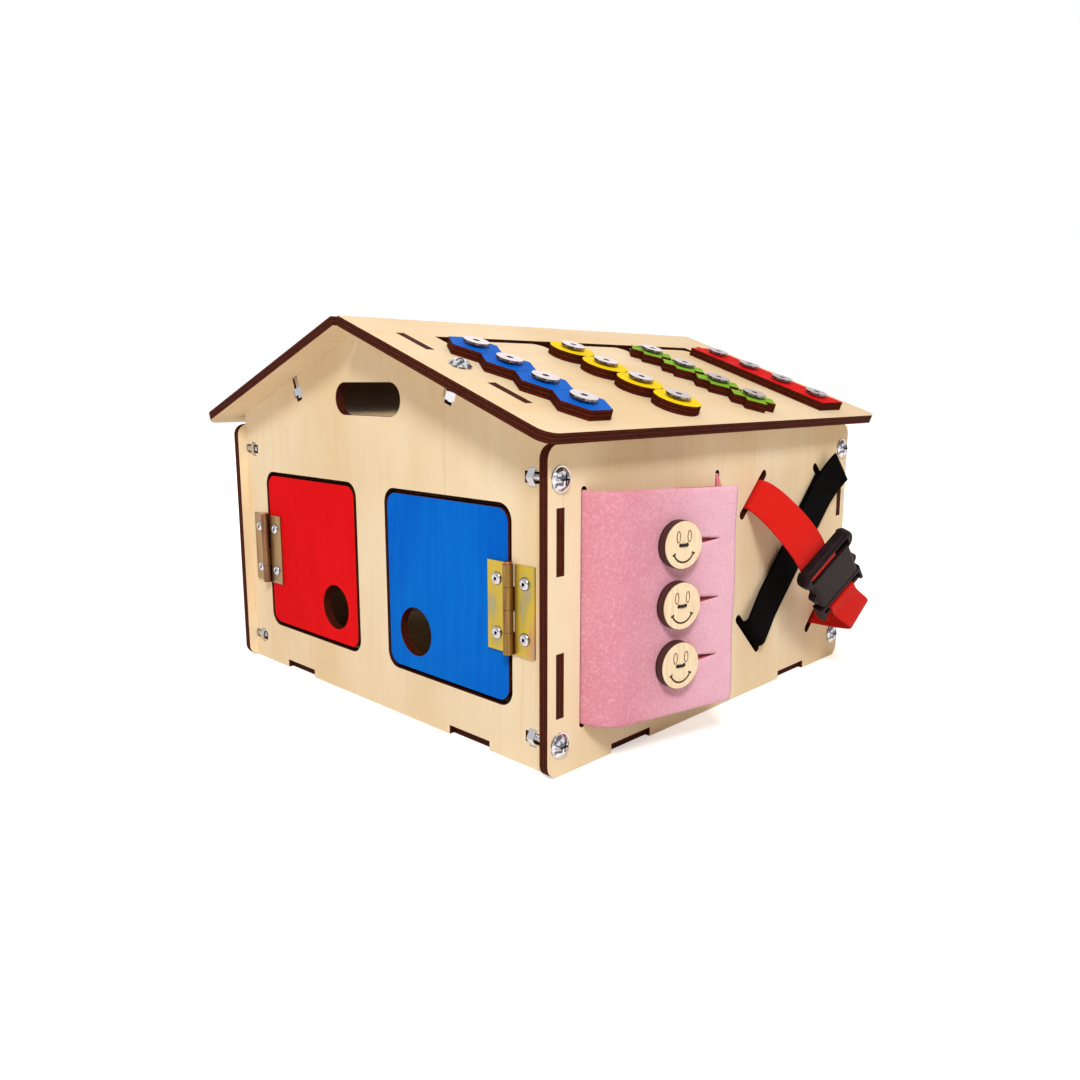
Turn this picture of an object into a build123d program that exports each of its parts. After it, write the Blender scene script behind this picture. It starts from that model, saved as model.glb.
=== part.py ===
import os
from math import asin, atan, atan2, cos, degrees, hypot, radians, sin, sqrt, tan

from build123d import *

os.makedirs("parts", exist_ok=True)

# Sheet, tabs and cuts
ply = 6.0
tab_play = 0.1
cut_over = 2.0

# Shell of the house
house_width = 330.0
wall_length = 328.0
wall_height = 180.0
wall_corner = 8.0
gable_inset = 6.5
eave_gap = 5.545
roof_pitch = 20.0
roof_overhang = 21.5
roof_slope = 189.0
roof_corner = 9.0
ridge_gap = 2.0
ridge_tip_width = 3.0
ridge_tip_height = 4.0

# Tabs and foot notches
wall_tab = 36.0
wall_tab_inset = 51.0
roof_tab = 31.0
roof_tab_shift = 43.0
roof_bolt_run = 90.6
foot_notch = 36.0
foot_notch_height = 5.7
gable_notch_shift = 94.0
side_notch_shift = 93.0

# Frame bolts and nuts
bolt_radius = 3.0
bolt_length = 22.0
bolt_head_radius = 6.4
bolt_head_height = 3.4
bolt_hole_play = 0.2
washer_radius = 7.0
washer_thickness = 0.8
wall_bolt_inset = 18.0
nut_width = 10.0
nut_thickness = 5.0
nut_depth = 8.8
nut_play = 0.15
thread_play = 0.05
channel_depth = 17.0
driver_slot = 1.0
driver_span = 5.6
driver_depth = 1.6

# Handle slot and doors
handle_length = 70.0
handle_height = 21.0
handle_drop = 45.0
opening_size = 116.0
opening_corner = 10.0
door_gap = 3.0
door_corner = 8.0
door_shift = 73.6
door_centre = 88.5
door_hole_radius = 15.5
door_hole_edge = 26.0
door_hole_rise = 24.5

# Butt hinges and pop rivets
hinge_height = 51.0
hinge_leaf = 18.5
hinge_plate = 1.2
barrel_radius = 2.9
barrel_lift = 0.2
hinge_pin_radius = 1.4
hinge_pin_play = 0.05
hinge_pin_head = 2.4
hinge_pin_head_height = 1.3
knuckles = 4
knuckle_gap = 0.2
leaf_clearance = 0.6
rivet_reach = 11.0
rivet_rise = 15.5
rivet_radius = 2.0
rivet_head_radius = 3.8
rivet_head_height = 1.3
rivet_tail_radius = 2.9
rivet_tail_height = 2.0
rivet_bore = 1.0
rivet_bore_depth = 0.9
rivet_play = 0.1

# Sliding tokens
token_size = 30.0
token_play = 0.4
token_run = 161.3
column_margin = 51.5
token_rows = 4
cross_arm = 13.4
token_hole_play = 0.25
comb_run = 40.0
comb_slot = 7.0
comb_fillet = 8.0
comb_end_play = 0.3
connector_radius = 3.0
connector_head_radius = 8.0
connector_head_height = 2.0
connector_bevel = 0.8
connector_lift = 0.9
connector_socket = 4.0
connector_socket_depth = 1.2
slider_radius = 11.0
slider_thickness = 4.0
slider_play = 0.3
connector_nut_play = 0.15
connector_tail = 1.2

# Felt flap, strip and buttons
felt = 3.0
felt_height = 130.0
felt_slot_width = 4.6
felt_slot_play = 2.0
flap_slot = 136.5
strip_slot = 11.3
flap_bend = 20.0
flap_lean = 12.5
flap_end = 47.0
felt_tail = 8.0
tail_bend = 2.4
tail_seat = 0.3
felt_gap = 0.35
strip_height = 112.0
strip_bend = 12.0
strip_settle = 40.0
strip_settle_end = 76.0
strip_end = 106.0
button_radius = 13.4
button_place = 91.0
button_rise = 34.0
button_gap = 0.4
button_hole_radius = 1.0
button_hole_shift = 2.6
slit_end = 59.0
slit_width = 1.2
slit_slack = 2.0

# Straps in their four slanted slots
strap_centre = 79.7
strap_reach = 67.5
strap_slot = 41.5
strap_slot_width = 6.0
webbing_width = 25.0
webbing = 1.6
velcro_width = 30.0
velcro = 1.8
strap_tail = 10.0
strap_gap = 0.3
strap_bend = 3.6
loop_reach = 38.0
hook_stand = 0.8
hook_bend = 4.4
hook_dip = 5.0
hook_settle = 60.0
hook_curl = 12.0
hook_overrun = 17.0
hook_rise = 5.0
webbing_rise = 11.0
webbing_run = 20.0
arch_pull = 19.0
arch_fall = 57.0
ribbon_stations = 15

# Side-release buckle
buckle_ahead = 2.6
buckle_drop = 8.6
buckle_offset = 36.6
buckle_yaw = 7.0
buckle_pitch = 9.0
buckle_roll = 19.0
buckle_width = 49.0
buckle_thickness = 9.5
buckle_wall = 1.8
buckle_back = 31.5
mouth_ahead = 17.0
frame_end = 16.5
frame_corner = 8.2
body_width = 38.0
body_corner = 3.2
end_bar = 3.6
end_bar_recess = 2.0
middle_bar_place = 7.1
middle_bar = 2.6
middle_bar_top = 1.9
bar_thickness = 3.4
strap_window = 37.6
webbing_side = 5.6
strap_window_length = 8.0
cavity_back = 9.0
male_neck = 4.0
male_width = 43.0
male_round = 1.5
buckle_round = 3.0
side_window_back = 4.0
side_window_front = 10.0
side_window_height = 6.0
buckle_play = 0.3
male_ahead = 33.5
prong_width = 3.2
prong_height = 5.4
prong_place = 13.5
prong_bulge = 21.9
prong_back = 2.6
prong_shoulder = 18.1
male_thickness = 8.0
thread_bend = 1.5
thread_lead = 4.0
thread_drop = 2.0
male_tail = 1.5
tongue_width = 7.0
tongue_height = 3.0
tongue_back = 8.0

# Places worked out from the sizes above
half_width = house_width / 2
inner_half = half_width - ply
half_length = wall_length / 2
half_height = wall_height / 2
gable_face = half_length - gable_inset
gable_back = gable_face - ply
gable_middle = gable_face - ply / 2
pitch = radians(roof_pitch)
ridge_height = wall_height + eave_gap + half_width * tan(pitch)
roof_length = 2 * (gable_face + roof_overhang)
wall_tab_shift = half_height - wall_tab_inset
wall_bolt_shift = half_height - wall_bolt_inset
handle_centre = ridge_height - handle_drop
shoulder = ridge_height - inner_half * tan(pitch)
door_size = opening_size - 2 * door_gap
hinge_x = door_shift + opening_size / 2
hinge_y = -gable_face - barrel_radius - barrel_lift
row_pitch = token_size + token_play
token_pitch = (roof_length - 2 * column_margin) / 3
token_columns = [token_pitch * share for share in (-1.5, -0.5, 0.5, 1.5)]
slope_tab_runs = (roof_bolt_run - roof_tab_shift, roof_bolt_run + roof_tab_shift)
tab_slot_width = ply + 2 * tab_play


def save(piece, label):
    piece.part.label = label
    export_step(piece.part, f"parts/{label}.step")


def slope_plane(side, along, run, height):
    # A plane lying on a roof panel: x along the ridge, y up the slope, z outwards.
    normal = Vector(side * sin(pitch), 0, cos(pitch))
    down = Vector(side * cos(pitch), 0, -sin(pitch))
    origin = Vector(0, along, ridge_height) + down * run + normal * height
    return Plane(origin=origin, x_dir=(0, side, 0), z_dir=normal)


def wall_plane(side, along, rise):
    # A plane on the outer face of a side wall, z outwards.
    return Plane(origin=(side * half_width, along, rise), x_dir=(0, 1, 0), z_dir=(side, 0, 0))


def bolt_planes():
    planes = []
    for end in (-1, 1):
        for side in (-1, 1):
            for step in (-1, 1):
                planes.append(wall_plane(side, end * gable_middle, half_height + step * wall_bolt_shift))
            planes.append(slope_plane(side, end * gable_middle, roof_bolt_run, ply))
    return planes


def nut_seats():
    # Where each captured bolt enters a gable edge: x, z and the outward direction.
    seats = []
    for step in (-1, 1):
        rise = half_height + step * wall_bolt_shift
        seats.append((inner_half, rise, 0))
        seats.append((-inner_half, rise, 180))
    for side in (-1, 1):
        x = side * roof_bolt_run * cos(pitch)
        z = ridge_height - roof_bolt_run * sin(pitch)
        seats.append((x, z, 90 - side * roof_pitch))
    return seats


def t_slots():
    for x, z, turn in nut_seats():
        with Locations(Location((x, z, 0), (0, 0, turn))):
            Rectangle(2 * channel_depth, 2 * (bolt_radius + bolt_hole_play), mode=Mode.SUBTRACT)
        middle = nut_depth + nut_thickness / 2
        spot = Location((x, z, 0), (0, 0, turn)) * Location((-middle, 0, 0))
        with Locations(spot):
            Rectangle(nut_thickness + 2 * nut_play, nut_width + 2 * nut_play, mode=Mode.SUBTRACT)


def gable_outline():
    with BuildLine() as edge:
        Polyline(
            (-inner_half, 0),
            (inner_half, 0),
            (inner_half, shoulder),
            (0, ridge_height),
            (-inner_half, shoulder),
            close=True,
        )
    make_face(edge.line)
    with Locations((0, ridge_height)):
        Rectangle(ridge_tip_width, 2 * ridge_tip_height)
    for side in (-1, 1):
        for step in (-1, 1):
            with Locations((side * inner_half, half_height + step * wall_tab_shift)):
                Rectangle(2 * ply, wall_tab)
        for run in slope_tab_runs:
            x = side * run * cos(pitch)
            z = ridge_height - run * sin(pitch)
            with Locations(Location((x, z, 0), (0, 0, -side * roof_pitch))):
                Rectangle(roof_tab, 2 * ply)
    with Locations((-gable_notch_shift, 0), (gable_notch_shift, 0)):
        Rectangle(foot_notch, 2 * foot_notch_height, mode=Mode.SUBTRACT)
    with Locations((0, handle_centre)):
        SlotOverall(handle_length, handle_height, mode=Mode.SUBTRACT)
    t_slots()


# Floor, gables and side walls
with BuildPart() as base_panel:
    with BuildSketch():
        Rectangle(2 * inner_half, 2 * gable_back)
    extrude(amount=ply)
save(base_panel, "base_panel")

with BuildPart() as front_gable_wall:
    with BuildSketch(Plane.XZ.offset(gable_face)):
        gable_outline()
        with Locations((-door_shift, door_centre), (door_shift, door_centre)):
            RectangleRounded(opening_size, opening_size, opening_corner, mode=Mode.SUBTRACT)
        for side in (-1, 1):
            for step in (-1, 1):
                with Locations((side * (hinge_x + rivet_reach), door_centre + step * rivet_rise)):
                    Circle(rivet_radius + rivet_play, mode=Mode.SUBTRACT)
    extrude(amount=-ply)
save(front_gable_wall, "front_gable_wall")

with BuildPart() as back_gable_wall:
    with BuildSketch(Plane.XZ.offset(-gable_back)):
        gable_outline()
    extrude(amount=-ply)
save(back_gable_wall, "back_gable_wall")


def side_outline():
    with Locations((0, half_height)):
        RectangleRounded(wall_length, wall_height, wall_corner)
    for end in (-1, 1):
        for step in (-1, 1):
            with Locations((end * gable_middle, half_height + step * wall_tab_shift)):
                Rectangle(tab_slot_width, wall_tab + 2 * tab_play, mode=Mode.SUBTRACT)
            with Locations((end * gable_middle, half_height + step * wall_bolt_shift)):
                Circle(bolt_radius + bolt_hole_play, mode=Mode.SUBTRACT)
    with Locations((-side_notch_shift, 0), (side_notch_shift, 0)):
        Rectangle(foot_notch, 2 * foot_notch_height, mode=Mode.SUBTRACT)


with BuildPart() as left_side_wall:
    with BuildSketch(Plane.YZ.offset(-half_width)):
        side_outline()
    extrude(amount=ply)
save(left_side_wall, "left_side_wall")

with BuildPart() as right_side_wall:
    with BuildSketch(Plane.YZ.offset(inner_half)):
        side_outline()
        with Locations((-flap_slot, half_height), (-strip_slot, half_height)):
            SlotOverall(felt_height + 2 * felt_slot_play, felt_slot_width, rotation=90, mode=Mode.SUBTRACT)
        for along, rise, turn in ((-1, 1, 45), (1, -1, 45), (1, 1, -45), (-1, -1, -45)):
            reach = strap_reach / sqrt(2)
            with Locations((strap_centre + along * reach, half_height + rise * reach)):
                SlotOverall(strap_slot, strap_slot_width, rotation=turn, mode=Mode.SUBTRACT)
    extrude(amount=ply)
save(right_side_wall, "right_side_wall")


# Roof panels, the right one with the comb slot
def panel_outline():
    width = roof_slope - ridge_gap
    with Locations((0, -ridge_gap - width / 2)):
        Rectangle(roof_length, width)
    fillet(vertices().group_by(Axis.Y)[0], roof_corner)
    for end in (-1, 1):
        for run in slope_tab_runs:
            with Locations((end * gable_middle, -run)):
                Rectangle(tab_slot_width, roof_tab + 2 * tab_play, mode=Mode.SUBTRACT)
        with Locations((end * gable_middle, -roof_bolt_run)):
            Circle(bolt_radius + bolt_hole_play, mode=Mode.SUBTRACT)


def comb_outline():
    top = -comb_run + comb_slot / 2
    bottom = -token_run - comb_end_play
    left, right = token_columns[0], token_columns[-1]
    with BuildSketch(mode=Mode.PRIVATE) as comb:
        with Locations(((left + right) / 2, -comb_run)):
            Rectangle(right - left + comb_slot, comb_slot)
        for column in token_columns:
            with Locations((column, (top + bottom) / 2)):
                Rectangle(comb_slot, top - bottom)
        inner = [v for v in comb.vertices() if abs(v.Y - (top - comb_slot)) < tab_play]
        outer = comb.vertices().group_by(Axis.Y)[-1]
        fillet(inner, comb_fillet)
        fillet(outer, comb_fillet + comb_slot)
        for column in token_columns:
            with Locations((column, bottom)):
                Circle(comb_slot / 2)
    add(comb.sketch, mode=Mode.SUBTRACT)


with BuildPart() as roof_panel_left:
    with BuildSketch(slope_plane(-1, 0, 0, 0)):
        panel_outline()
    extrude(amount=ply)
save(roof_panel_left, "roof_panel_left")

with BuildPart() as roof_panel_right:
    with BuildSketch(slope_plane(1, 0, 0, 0)):
        panel_outline()
        comb_outline()
    extrude(amount=ply)
save(roof_panel_right, "roof_panel_right")


# Frame bolts with washers, and the nuts caught in the T-slots
def dome_middle(radius, height):
    # The point halfway along a dome's arc, measured from the middle of its base.
    sphere = (radius**2 + height**2) / (2 * height)
    half_angle = asin(radius / sphere) / 2
    return sphere * sin(half_angle), height - sphere * (1 - cos(half_angle))


def pan_head_bolt(place):
    middle_x, middle_y = dome_middle(bolt_head_radius, bolt_head_height)
    half_section = Plane(origin=place.origin, x_dir=place.x_dir, z_dir=-place.y_dir)
    with BuildSketch(half_section) as profile:
        with BuildLine():
            Line((0, washer_thickness - bolt_length), (bolt_radius, washer_thickness - bolt_length))
            Line((bolt_radius, washer_thickness - bolt_length), (bolt_radius, 0))
            Line((bolt_radius, 0), (washer_radius, 0))
            Line((washer_radius, 0), (washer_radius, washer_thickness))
            Line((washer_radius, washer_thickness), (bolt_head_radius, washer_thickness))
            ThreePointArc(
                (bolt_head_radius, washer_thickness),
                (middle_x, washer_thickness + middle_y),
                (0, washer_thickness + bolt_head_height),
            )
            Line((0, washer_thickness + bolt_head_height), (0, washer_thickness - bolt_length))
        make_face()
    revolve(profile.sketch, axis=Axis(place.origin, place.z_dir))


def driver_cross(place):
    top = washer_thickness + bolt_head_height
    with BuildSketch(place.offset(top - driver_depth)) as cross:
        Rectangle(driver_span, driver_slot)
        Rectangle(driver_slot, driver_span)
    extrude(cross.sketch, amount=driver_depth + cut_over, mode=Mode.SUBTRACT)


with BuildPart() as frame_bolts:
    for place in bolt_planes():
        pan_head_bolt(place)
    for place in bolt_planes():
        driver_cross(place)
save(frame_bolts, "frame_bolts")

with BuildPart() as frame_nuts:
    for place in bolt_planes():
        with BuildSketch(place.offset(-ply - nut_depth)):
            RegularPolygon(nut_width / 2, 6, major_radius=False)
            Circle(bolt_radius + thread_play, mode=Mode.SUBTRACT)
        extrude(amount=-nut_thickness)
save(frame_nuts, "frame_nuts")


# Doors, their butt hinges and the pop rivets
for side, label in ((-1, "red_door"), (1, "blue_door")):
    with BuildPart() as door:
        with BuildSketch(Plane.XZ.offset(gable_face)):
            with Locations((side * door_shift, door_centre)):
                RectangleRounded(door_size, door_size, door_corner)
            hole_x = side * (door_shift - door_size / 2 + door_hole_edge)
            with Locations((hole_x, door_centre - door_size / 2 + door_hole_rise)):
                Circle(door_hole_radius, mode=Mode.SUBTRACT)
            for step in (-1, 1):
                with Locations((side * (hinge_x - rivet_reach), door_centre + step * rivet_rise)):
                    Circle(rivet_radius + rivet_play, mode=Mode.SUBTRACT)
        extrude(amount=-ply)
    save(door, label)


def hinge_half(side, way, own_knuckles):
    # One leaf with its knuckles; way is 1 for the wall leaf and -1 for the door leaf.
    bottom = door_centre - hinge_height / 2
    near = barrel_radius + leaf_clearance
    width = hinge_leaf - near
    turn = side * way
    with BuildSketch(Plane.XY.offset(bottom)) as plate:
        with Locations((side * hinge_x + turn * (near + width / 2), -gable_face - hinge_plate / 2)):
            Rectangle(width, hinge_plate)
    extrude(plate.sketch, amount=hinge_height)
    step = hinge_height / knuckles
    for index in own_knuckles:
        with BuildSketch(Plane.XY.offset(bottom + index * step + knuckle_gap / 2)) as knuckle:
            with Locations((side * hinge_x, hinge_y)):
                Circle(barrel_radius)
            with Locations((side * hinge_x + turn * near / 2, -gable_face - hinge_plate / 2)):
                Rectangle(near + 2 * knuckle_gap, hinge_plate)
            with Locations((side * hinge_x, hinge_y)):
                Circle(hinge_pin_radius + hinge_pin_play, mode=Mode.SUBTRACT)
        extrude(knuckle.sketch, amount=step - knuckle_gap)
    with BuildSketch(Plane.XZ.offset(gable_face)) as holes:
        for rise in (-rivet_rise, rivet_rise):
            with Locations((side * hinge_x + turn * rivet_reach, door_centre + rise)):
                Circle(rivet_radius + rivet_play)
    extrude(holes.sketch, amount=hinge_plate + cut_over, mode=Mode.SUBTRACT)


with BuildPart() as hinge_wall_leaves:
    for side in (-1, 1):
        hinge_half(side, 1, (0, 2))
save(hinge_wall_leaves, "hinge_wall_leaves")

for side, label in ((-1, "red_door_hinge_leaf"), (1, "blue_door_hinge_leaf")):
    with BuildPart() as door_leaf:
        hinge_half(side, -1, (1, 3))
    save(door_leaf, label)

with BuildPart() as hinge_pins:
    for side in (-1, 1):
        top = door_centre + hinge_height / 2
        with BuildSketch(Plane.XY.offset(top - hinge_height)):
            with Locations((side * hinge_x, hinge_y)):
                Circle(hinge_pin_radius)
        extrude(amount=hinge_height + knuckle_gap)
        with BuildSketch(Plane.XY.offset(top + knuckle_gap / 2)):
            with Locations((side * hinge_x, hinge_y)):
                Circle(hinge_pin_head)
        extrude(amount=hinge_pin_head_height)
save(hinge_pins, "hinge_pins")


def pop_rivet(x, rise):
    # A blind rivet from the leaf's face to its tail behind the panel.
    place = Plane(origin=(x, -gable_face - hinge_plate, rise), x_dir=(0, 0, 1), z_dir=(1, 0, 0))
    grip = hinge_plate + ply
    with BuildSketch(place) as profile:
        with BuildLine():
            Polyline(
                (0, -grip - rivet_tail_height),
                (rivet_tail_radius, -grip - rivet_tail_height),
                (rivet_tail_radius, -grip),
                (rivet_radius, -grip),
                (rivet_radius, 0),
                (rivet_head_radius, 0),
            )
            middle_radius = (rivet_head_radius + rivet_bore) * sqrt(2) / 2
            ThreePointArc(
                (rivet_head_radius, 0),
                (middle_radius, rivet_head_height * sqrt(2) / 2),
                (rivet_bore, rivet_head_height),
            )
            Polyline(
                (rivet_bore, rivet_head_height),
                (rivet_bore, rivet_head_height - rivet_bore_depth),
                (0, rivet_head_height - rivet_bore_depth),
                (0, -grip - rivet_tail_height),
            )
        make_face()
    revolve(profile.sketch, axis=Axis(place.origin, (0, -1, 0)))


def rivet_group(sides, way):
    for side in sides:
        for step in (-1, 1):
            pop_rivet(side * (hinge_x + way * rivet_reach), door_centre + step * rivet_rise)


with BuildPart() as hinge_wall_rivets:
    rivet_group((-1, 1), 1)
save(hinge_wall_rivets, "hinge_wall_rivets")

with BuildPart() as red_door_rivets:
    rivet_group((-1,), -1)
save(red_door_rivets, "red_door_rivets")

with BuildPart() as blue_door_rivets:
    rivet_group((1,), -1)
save(blue_door_rivets, "blue_door_rivets")


# Sliding tokens, each with its connector bolt, sliding disc and nut
def hexagon_token():
    RegularPolygon(token_size / 2, 6, major_radius=False)


def round_token():
    Circle(token_size / 2)


def cross_token():
    for turn in (45, -45):
        Rectangle(token_size * sqrt(2) - cross_arm, cross_arm, rotation=turn)


def square_token():
    Rectangle(token_size, token_size)


def connector_bolt(column, run):
    seat = slope_plane(1, column, run, 2 * ply + connector_lift)
    disc_top = connector_lift + 2 * ply + slider_play
    nut_top = disc_top + slider_thickness + connector_nut_play
    length = nut_top + nut_thickness + connector_tail
    with BuildSketch(Plane(origin=seat.origin, x_dir=seat.x_dir, z_dir=-seat.y_dir)) as profile:
        with BuildLine():
            Polyline(
                (0, -length),
                (connector_radius, -length),
                (connector_radius, 0),
                (connector_head_radius, connector_bevel),
                (connector_head_radius, connector_head_height),
                (0, connector_head_height),
                close=True,
            )
        make_face()
    revolve(profile.sketch, axis=Axis(seat.origin, seat.z_dir))
    with BuildSketch(seat.offset(connector_head_height - connector_socket_depth)) as socket:
        RegularPolygon(connector_socket / 2, 6, major_radius=False)
    extrude(socket.sketch, amount=connector_socket_depth + cut_over, mode=Mode.SUBTRACT)
    with BuildSketch(seat.offset(-disc_top)) as disc:
        Circle(slider_radius)
        Circle(connector_radius + token_hole_play, mode=Mode.SUBTRACT)
    extrude(disc.sketch, amount=-slider_thickness)
    with BuildSketch(seat.offset(-nut_top)) as nut:
        RegularPolygon(nut_width / 2, 6, major_radius=False)
        Circle(connector_radius + thread_play, mode=Mode.SUBTRACT)
    extrude(nut.sketch, amount=-nut_thickness)


token_kinds = (
    ("blue", hexagon_token),
    ("yellow", round_token),
    ("green", cross_token),
    ("red", square_token),
)
for column, (colour, outline) in zip(token_columns, token_kinds):
    for row in range(token_rows):
        run = token_run - (token_rows - 1 - row) * row_pitch
        with BuildPart() as token:
            with BuildSketch(slope_plane(1, column, run, ply)):
                outline()
                Circle(connector_radius + token_hole_play, mode=Mode.SUBTRACT)
            extrude(amount=ply)
        save(token, f"{colour}_token_{row + 1}")
        with BuildPart() as token_bolt:
            connector_bolt(column, run)
        save(token_bolt, f"{colour}_token_bolt_{row + 1}")


# Felt flap and button strip, drawn in plan
lean = radians(flap_lean)
felt_bottom = half_height - felt_height / 2
tail_x = inner_half - tail_seat - felt / 2
line_heading = (sin(lean), cos(lean))
flap_normal = Vector(cos(lean), -sin(lean), 0)
flap_line_start = (half_width + flap_bend * cos(lean), -flap_slot + flap_bend * (1 - sin(lean)))

# The strip leaves its slot in a short bend, rises to meet the flap and settles under it.
strip_depth = (felt + felt_gap) / cos(lean)
bend_middle = (half_width, -strip_slot - strip_bend)


def on_flap_line(y, depth):
    # A point on the flap's middle line, or depth behind it.
    return (flap_line_start[0] + (y - flap_line_start[1]) * tan(lean) - depth, y)


settle_end = on_flap_line(-strip_settle_end, strip_depth)
settle_middle = (settle_end[0] - strip_settle * cos(lean), settle_end[1] + strip_settle * sin(lean))
middles_x = settle_middle[0] - bend_middle[0]
middles_y = bend_middle[1] - settle_middle[1]
strip_climb = atan2(middles_x, middles_y)
strip_climb += asin((strip_settle - strip_bend) / hypot(middles_x, middles_y))
climb_side = (cos(strip_climb), sin(strip_climb))


def felt_tail_lines(slot, way):
    # The glued tail inside the wall, its bend into the slot and the way out; way is where it points.
    Line((tail_x, -slot + way * (tail_bend + felt_tail)), (tail_x, -slot + way * tail_bend))
    JernArc((tail_x, -slot + way * tail_bend), (0, -way), tail_bend, way * 90)
    Line((tail_x + tail_bend, -slot), (half_width, -slot))


def felt_sheet(path):
    with BuildSketch(Plane.XY.offset(felt_bottom)) as section:
        trace(path, felt)
    extrude(section.sketch, amount=felt_height)


with BuildPart() as felt_flap:
    with BuildLine(Plane.XY.offset(felt_bottom)) as flap_path:
        felt_tail_lines(flap_slot, -1)
        JernArc((half_width, -flap_slot), (1, 0), flap_bend, 90 - flap_lean)
        Line(flap_line_start, on_flap_line(-flap_end, 0))
    felt_sheet(flap_path.line)
    slit_start = button_place + slit_slack
    with BuildSketch(Plane.YZ.offset(half_width + flap_bend)) as slits:
        for step in (-1, 0, 1):
            with Locations((-(slit_start + slit_end) / 2, half_height + step * button_rise)):
                Rectangle(slit_start - slit_end, slit_width)
    extrude(slits.sketch, amount=flap_bend, mode=Mode.SUBTRACT)
save(felt_flap, "felt_flap")

with BuildPart() as felt_button_strip:
    climb_start = tuple(m + strip_bend * share for m, share in zip(bend_middle, climb_side))
    climb_end = tuple(m + strip_settle * share for m, share in zip(settle_middle, climb_side))
    climb_heading = (sin(strip_climb), -cos(strip_climb))
    with BuildLine(Plane.XY.offset(felt_bottom)) as strip_path:
        felt_tail_lines(strip_slot, 1)
        JernArc((half_width, -strip_slot), (1, 0), strip_bend, degrees(strip_climb) - 90)
        Line(climb_start, climb_end)
        JernArc(climb_end, climb_heading, strip_settle, -degrees(strip_climb) - flap_lean)
        Line(settle_end, on_flap_line(-strip_end, strip_depth))
    felt_sheet(strip_path.line)
    # Outside the wall the strip is narrower than its tail.
    shoulder_height = (felt_height - strip_height) / 2
    with BuildSketch(Plane.YZ.offset(half_width)) as shoulders:
        for way in (-1, 1):
            rise = half_height + way * (felt_height - shoulder_height) / 2
            with Locations((-strip_end / 2 - cut_over, rise)):
                Rectangle(strip_end, shoulder_height)
    extrude(shoulders.sketch, amount=2 * flap_bend, mode=Mode.SUBTRACT)
save(felt_button_strip, "felt_button_strip")

with BuildPart() as wooden_buttons:
    spot = Vector(*on_flap_line(-button_place, 0), half_height)
    spot += flap_normal * (felt / 2 + button_gap)
    face = Plane(origin=spot, x_dir=(*line_heading, 0), z_dir=flap_normal)
    with BuildSketch(face):
        for step in (-1, 0, 1):
            with Locations((0, step * button_rise)):
                Circle(button_radius)
                with Locations((-button_hole_shift, 0), (button_hole_shift, 0)):
                    Circle(button_hole_radius, mode=Mode.SUBTRACT)
    extrude(amount=ply)
save(wooden_buttons, "wooden_buttons")


# Crossed straps: red webbing through a buckle, and a hook-and-loop pair
def strap_plane(along, rise):
    # A plane through a strap's middle: x from its slot to the crossing, y outwards.
    reach = strap_reach / sqrt(2)
    origin = (half_width, strap_centre + along * reach, half_height + rise * reach)
    return Plane(origin=origin, x_dir=(0, -along, -rise), z_dir=(0, -rise, along))


def tail_lines(thickness, end):
    # The glued end inside the wall, its bend into the slot and the way out.
    inner = -ply - tail_seat - thickness / 2
    Line((strap_bend + strap_tail, inner), (strap_bend, inner))
    JernArc((strap_bend, inner), (-1, 0), strap_bend, -90)
    Line((0, inner + strap_bend), (0, end))


loop_level = strap_gap + velcro / 2
hook_level = loop_level + strap_gap + velcro

with BuildPart() as loop_strap:
    with BuildSketch(strap_plane(1, 1)):
        with BuildLine():
            tail_lines(velcro, loop_level - strap_bend)
            JernArc((0, loop_level - strap_bend), (0, 1), strap_bend, -90)
            Line((strap_bend, loop_level), (loop_reach, loop_level))
        trace(line_width=velcro)
    extrude(amount=velcro_width / 2, both=True)
save(loop_strap, "loop_strap")

with BuildPart() as hook_strap:
    dip = radians(hook_dip)
    crest = (hook_bend * (1 + sin(dip)), hook_stand + hook_bend * cos(dip))
    settle_height = hook_level + hook_settle * (1 - cos(dip))
    settle_start = crest[0] + (crest[1] - settle_height) / tan(dip)
    curl_start = 2 * strap_reach - hook_curl
    curl_run = hook_curl + hook_overrun
    curl_radius = (curl_run**2 + hook_rise**2) / (2 * hook_rise)
    with BuildSketch(strap_plane(-1, -1)):
        with BuildLine():
            tail_lines(velcro, hook_stand)
            JernArc((0, hook_stand), (0, 1), hook_bend, -90 - hook_dip)
            Line(crest, (settle_start, settle_height))
            JernArc((settle_start, settle_height), (cos(dip), -sin(dip)), hook_settle, hook_dip)
            Line((settle_start + hook_settle * sin(dip), hook_level), (curl_start, hook_level))
            JernArc((curl_start, hook_level), (1, 0), curl_radius, degrees(2 * atan(hook_rise / curl_run)))
        trace(line_width=velcro)
    extrude(amount=velcro_width / 2, both=True)
save(hook_strap, "hook_strap")

outward = Vector(1, 0, 0)
across = Vector(0, 1, 1).normalized()
yaw, tilt, roll = (radians(angle) for angle in (buckle_yaw, buckle_pitch, buckle_roll))
red_plane = strap_plane(-1, 1)
down_strap = red_plane.x_dir
turned = down_strap * cos(yaw) + across * sin(yaw)
level_up = outward * cos(tilt) + turned * sin(tilt)
level_side = across * cos(yaw) - down_strap * sin(yaw)
buckle_middle = red_plane.from_local_coords((strap_reach + buckle_ahead, buckle_offset, 0))
buckle_place = Plane(
    origin=buckle_middle - across * buckle_drop,
    x_dir=turned * cos(tilt) - outward * sin(tilt),
    z_dir=level_up * cos(roll) - level_side * sin(roll),
)
buckle_section = Plane(
    origin=buckle_place.origin, x_dir=buckle_place.x_dir, z_dir=-buckle_place.y_dir
)
bar_clearance = strap_gap + webbing / 2


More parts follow.
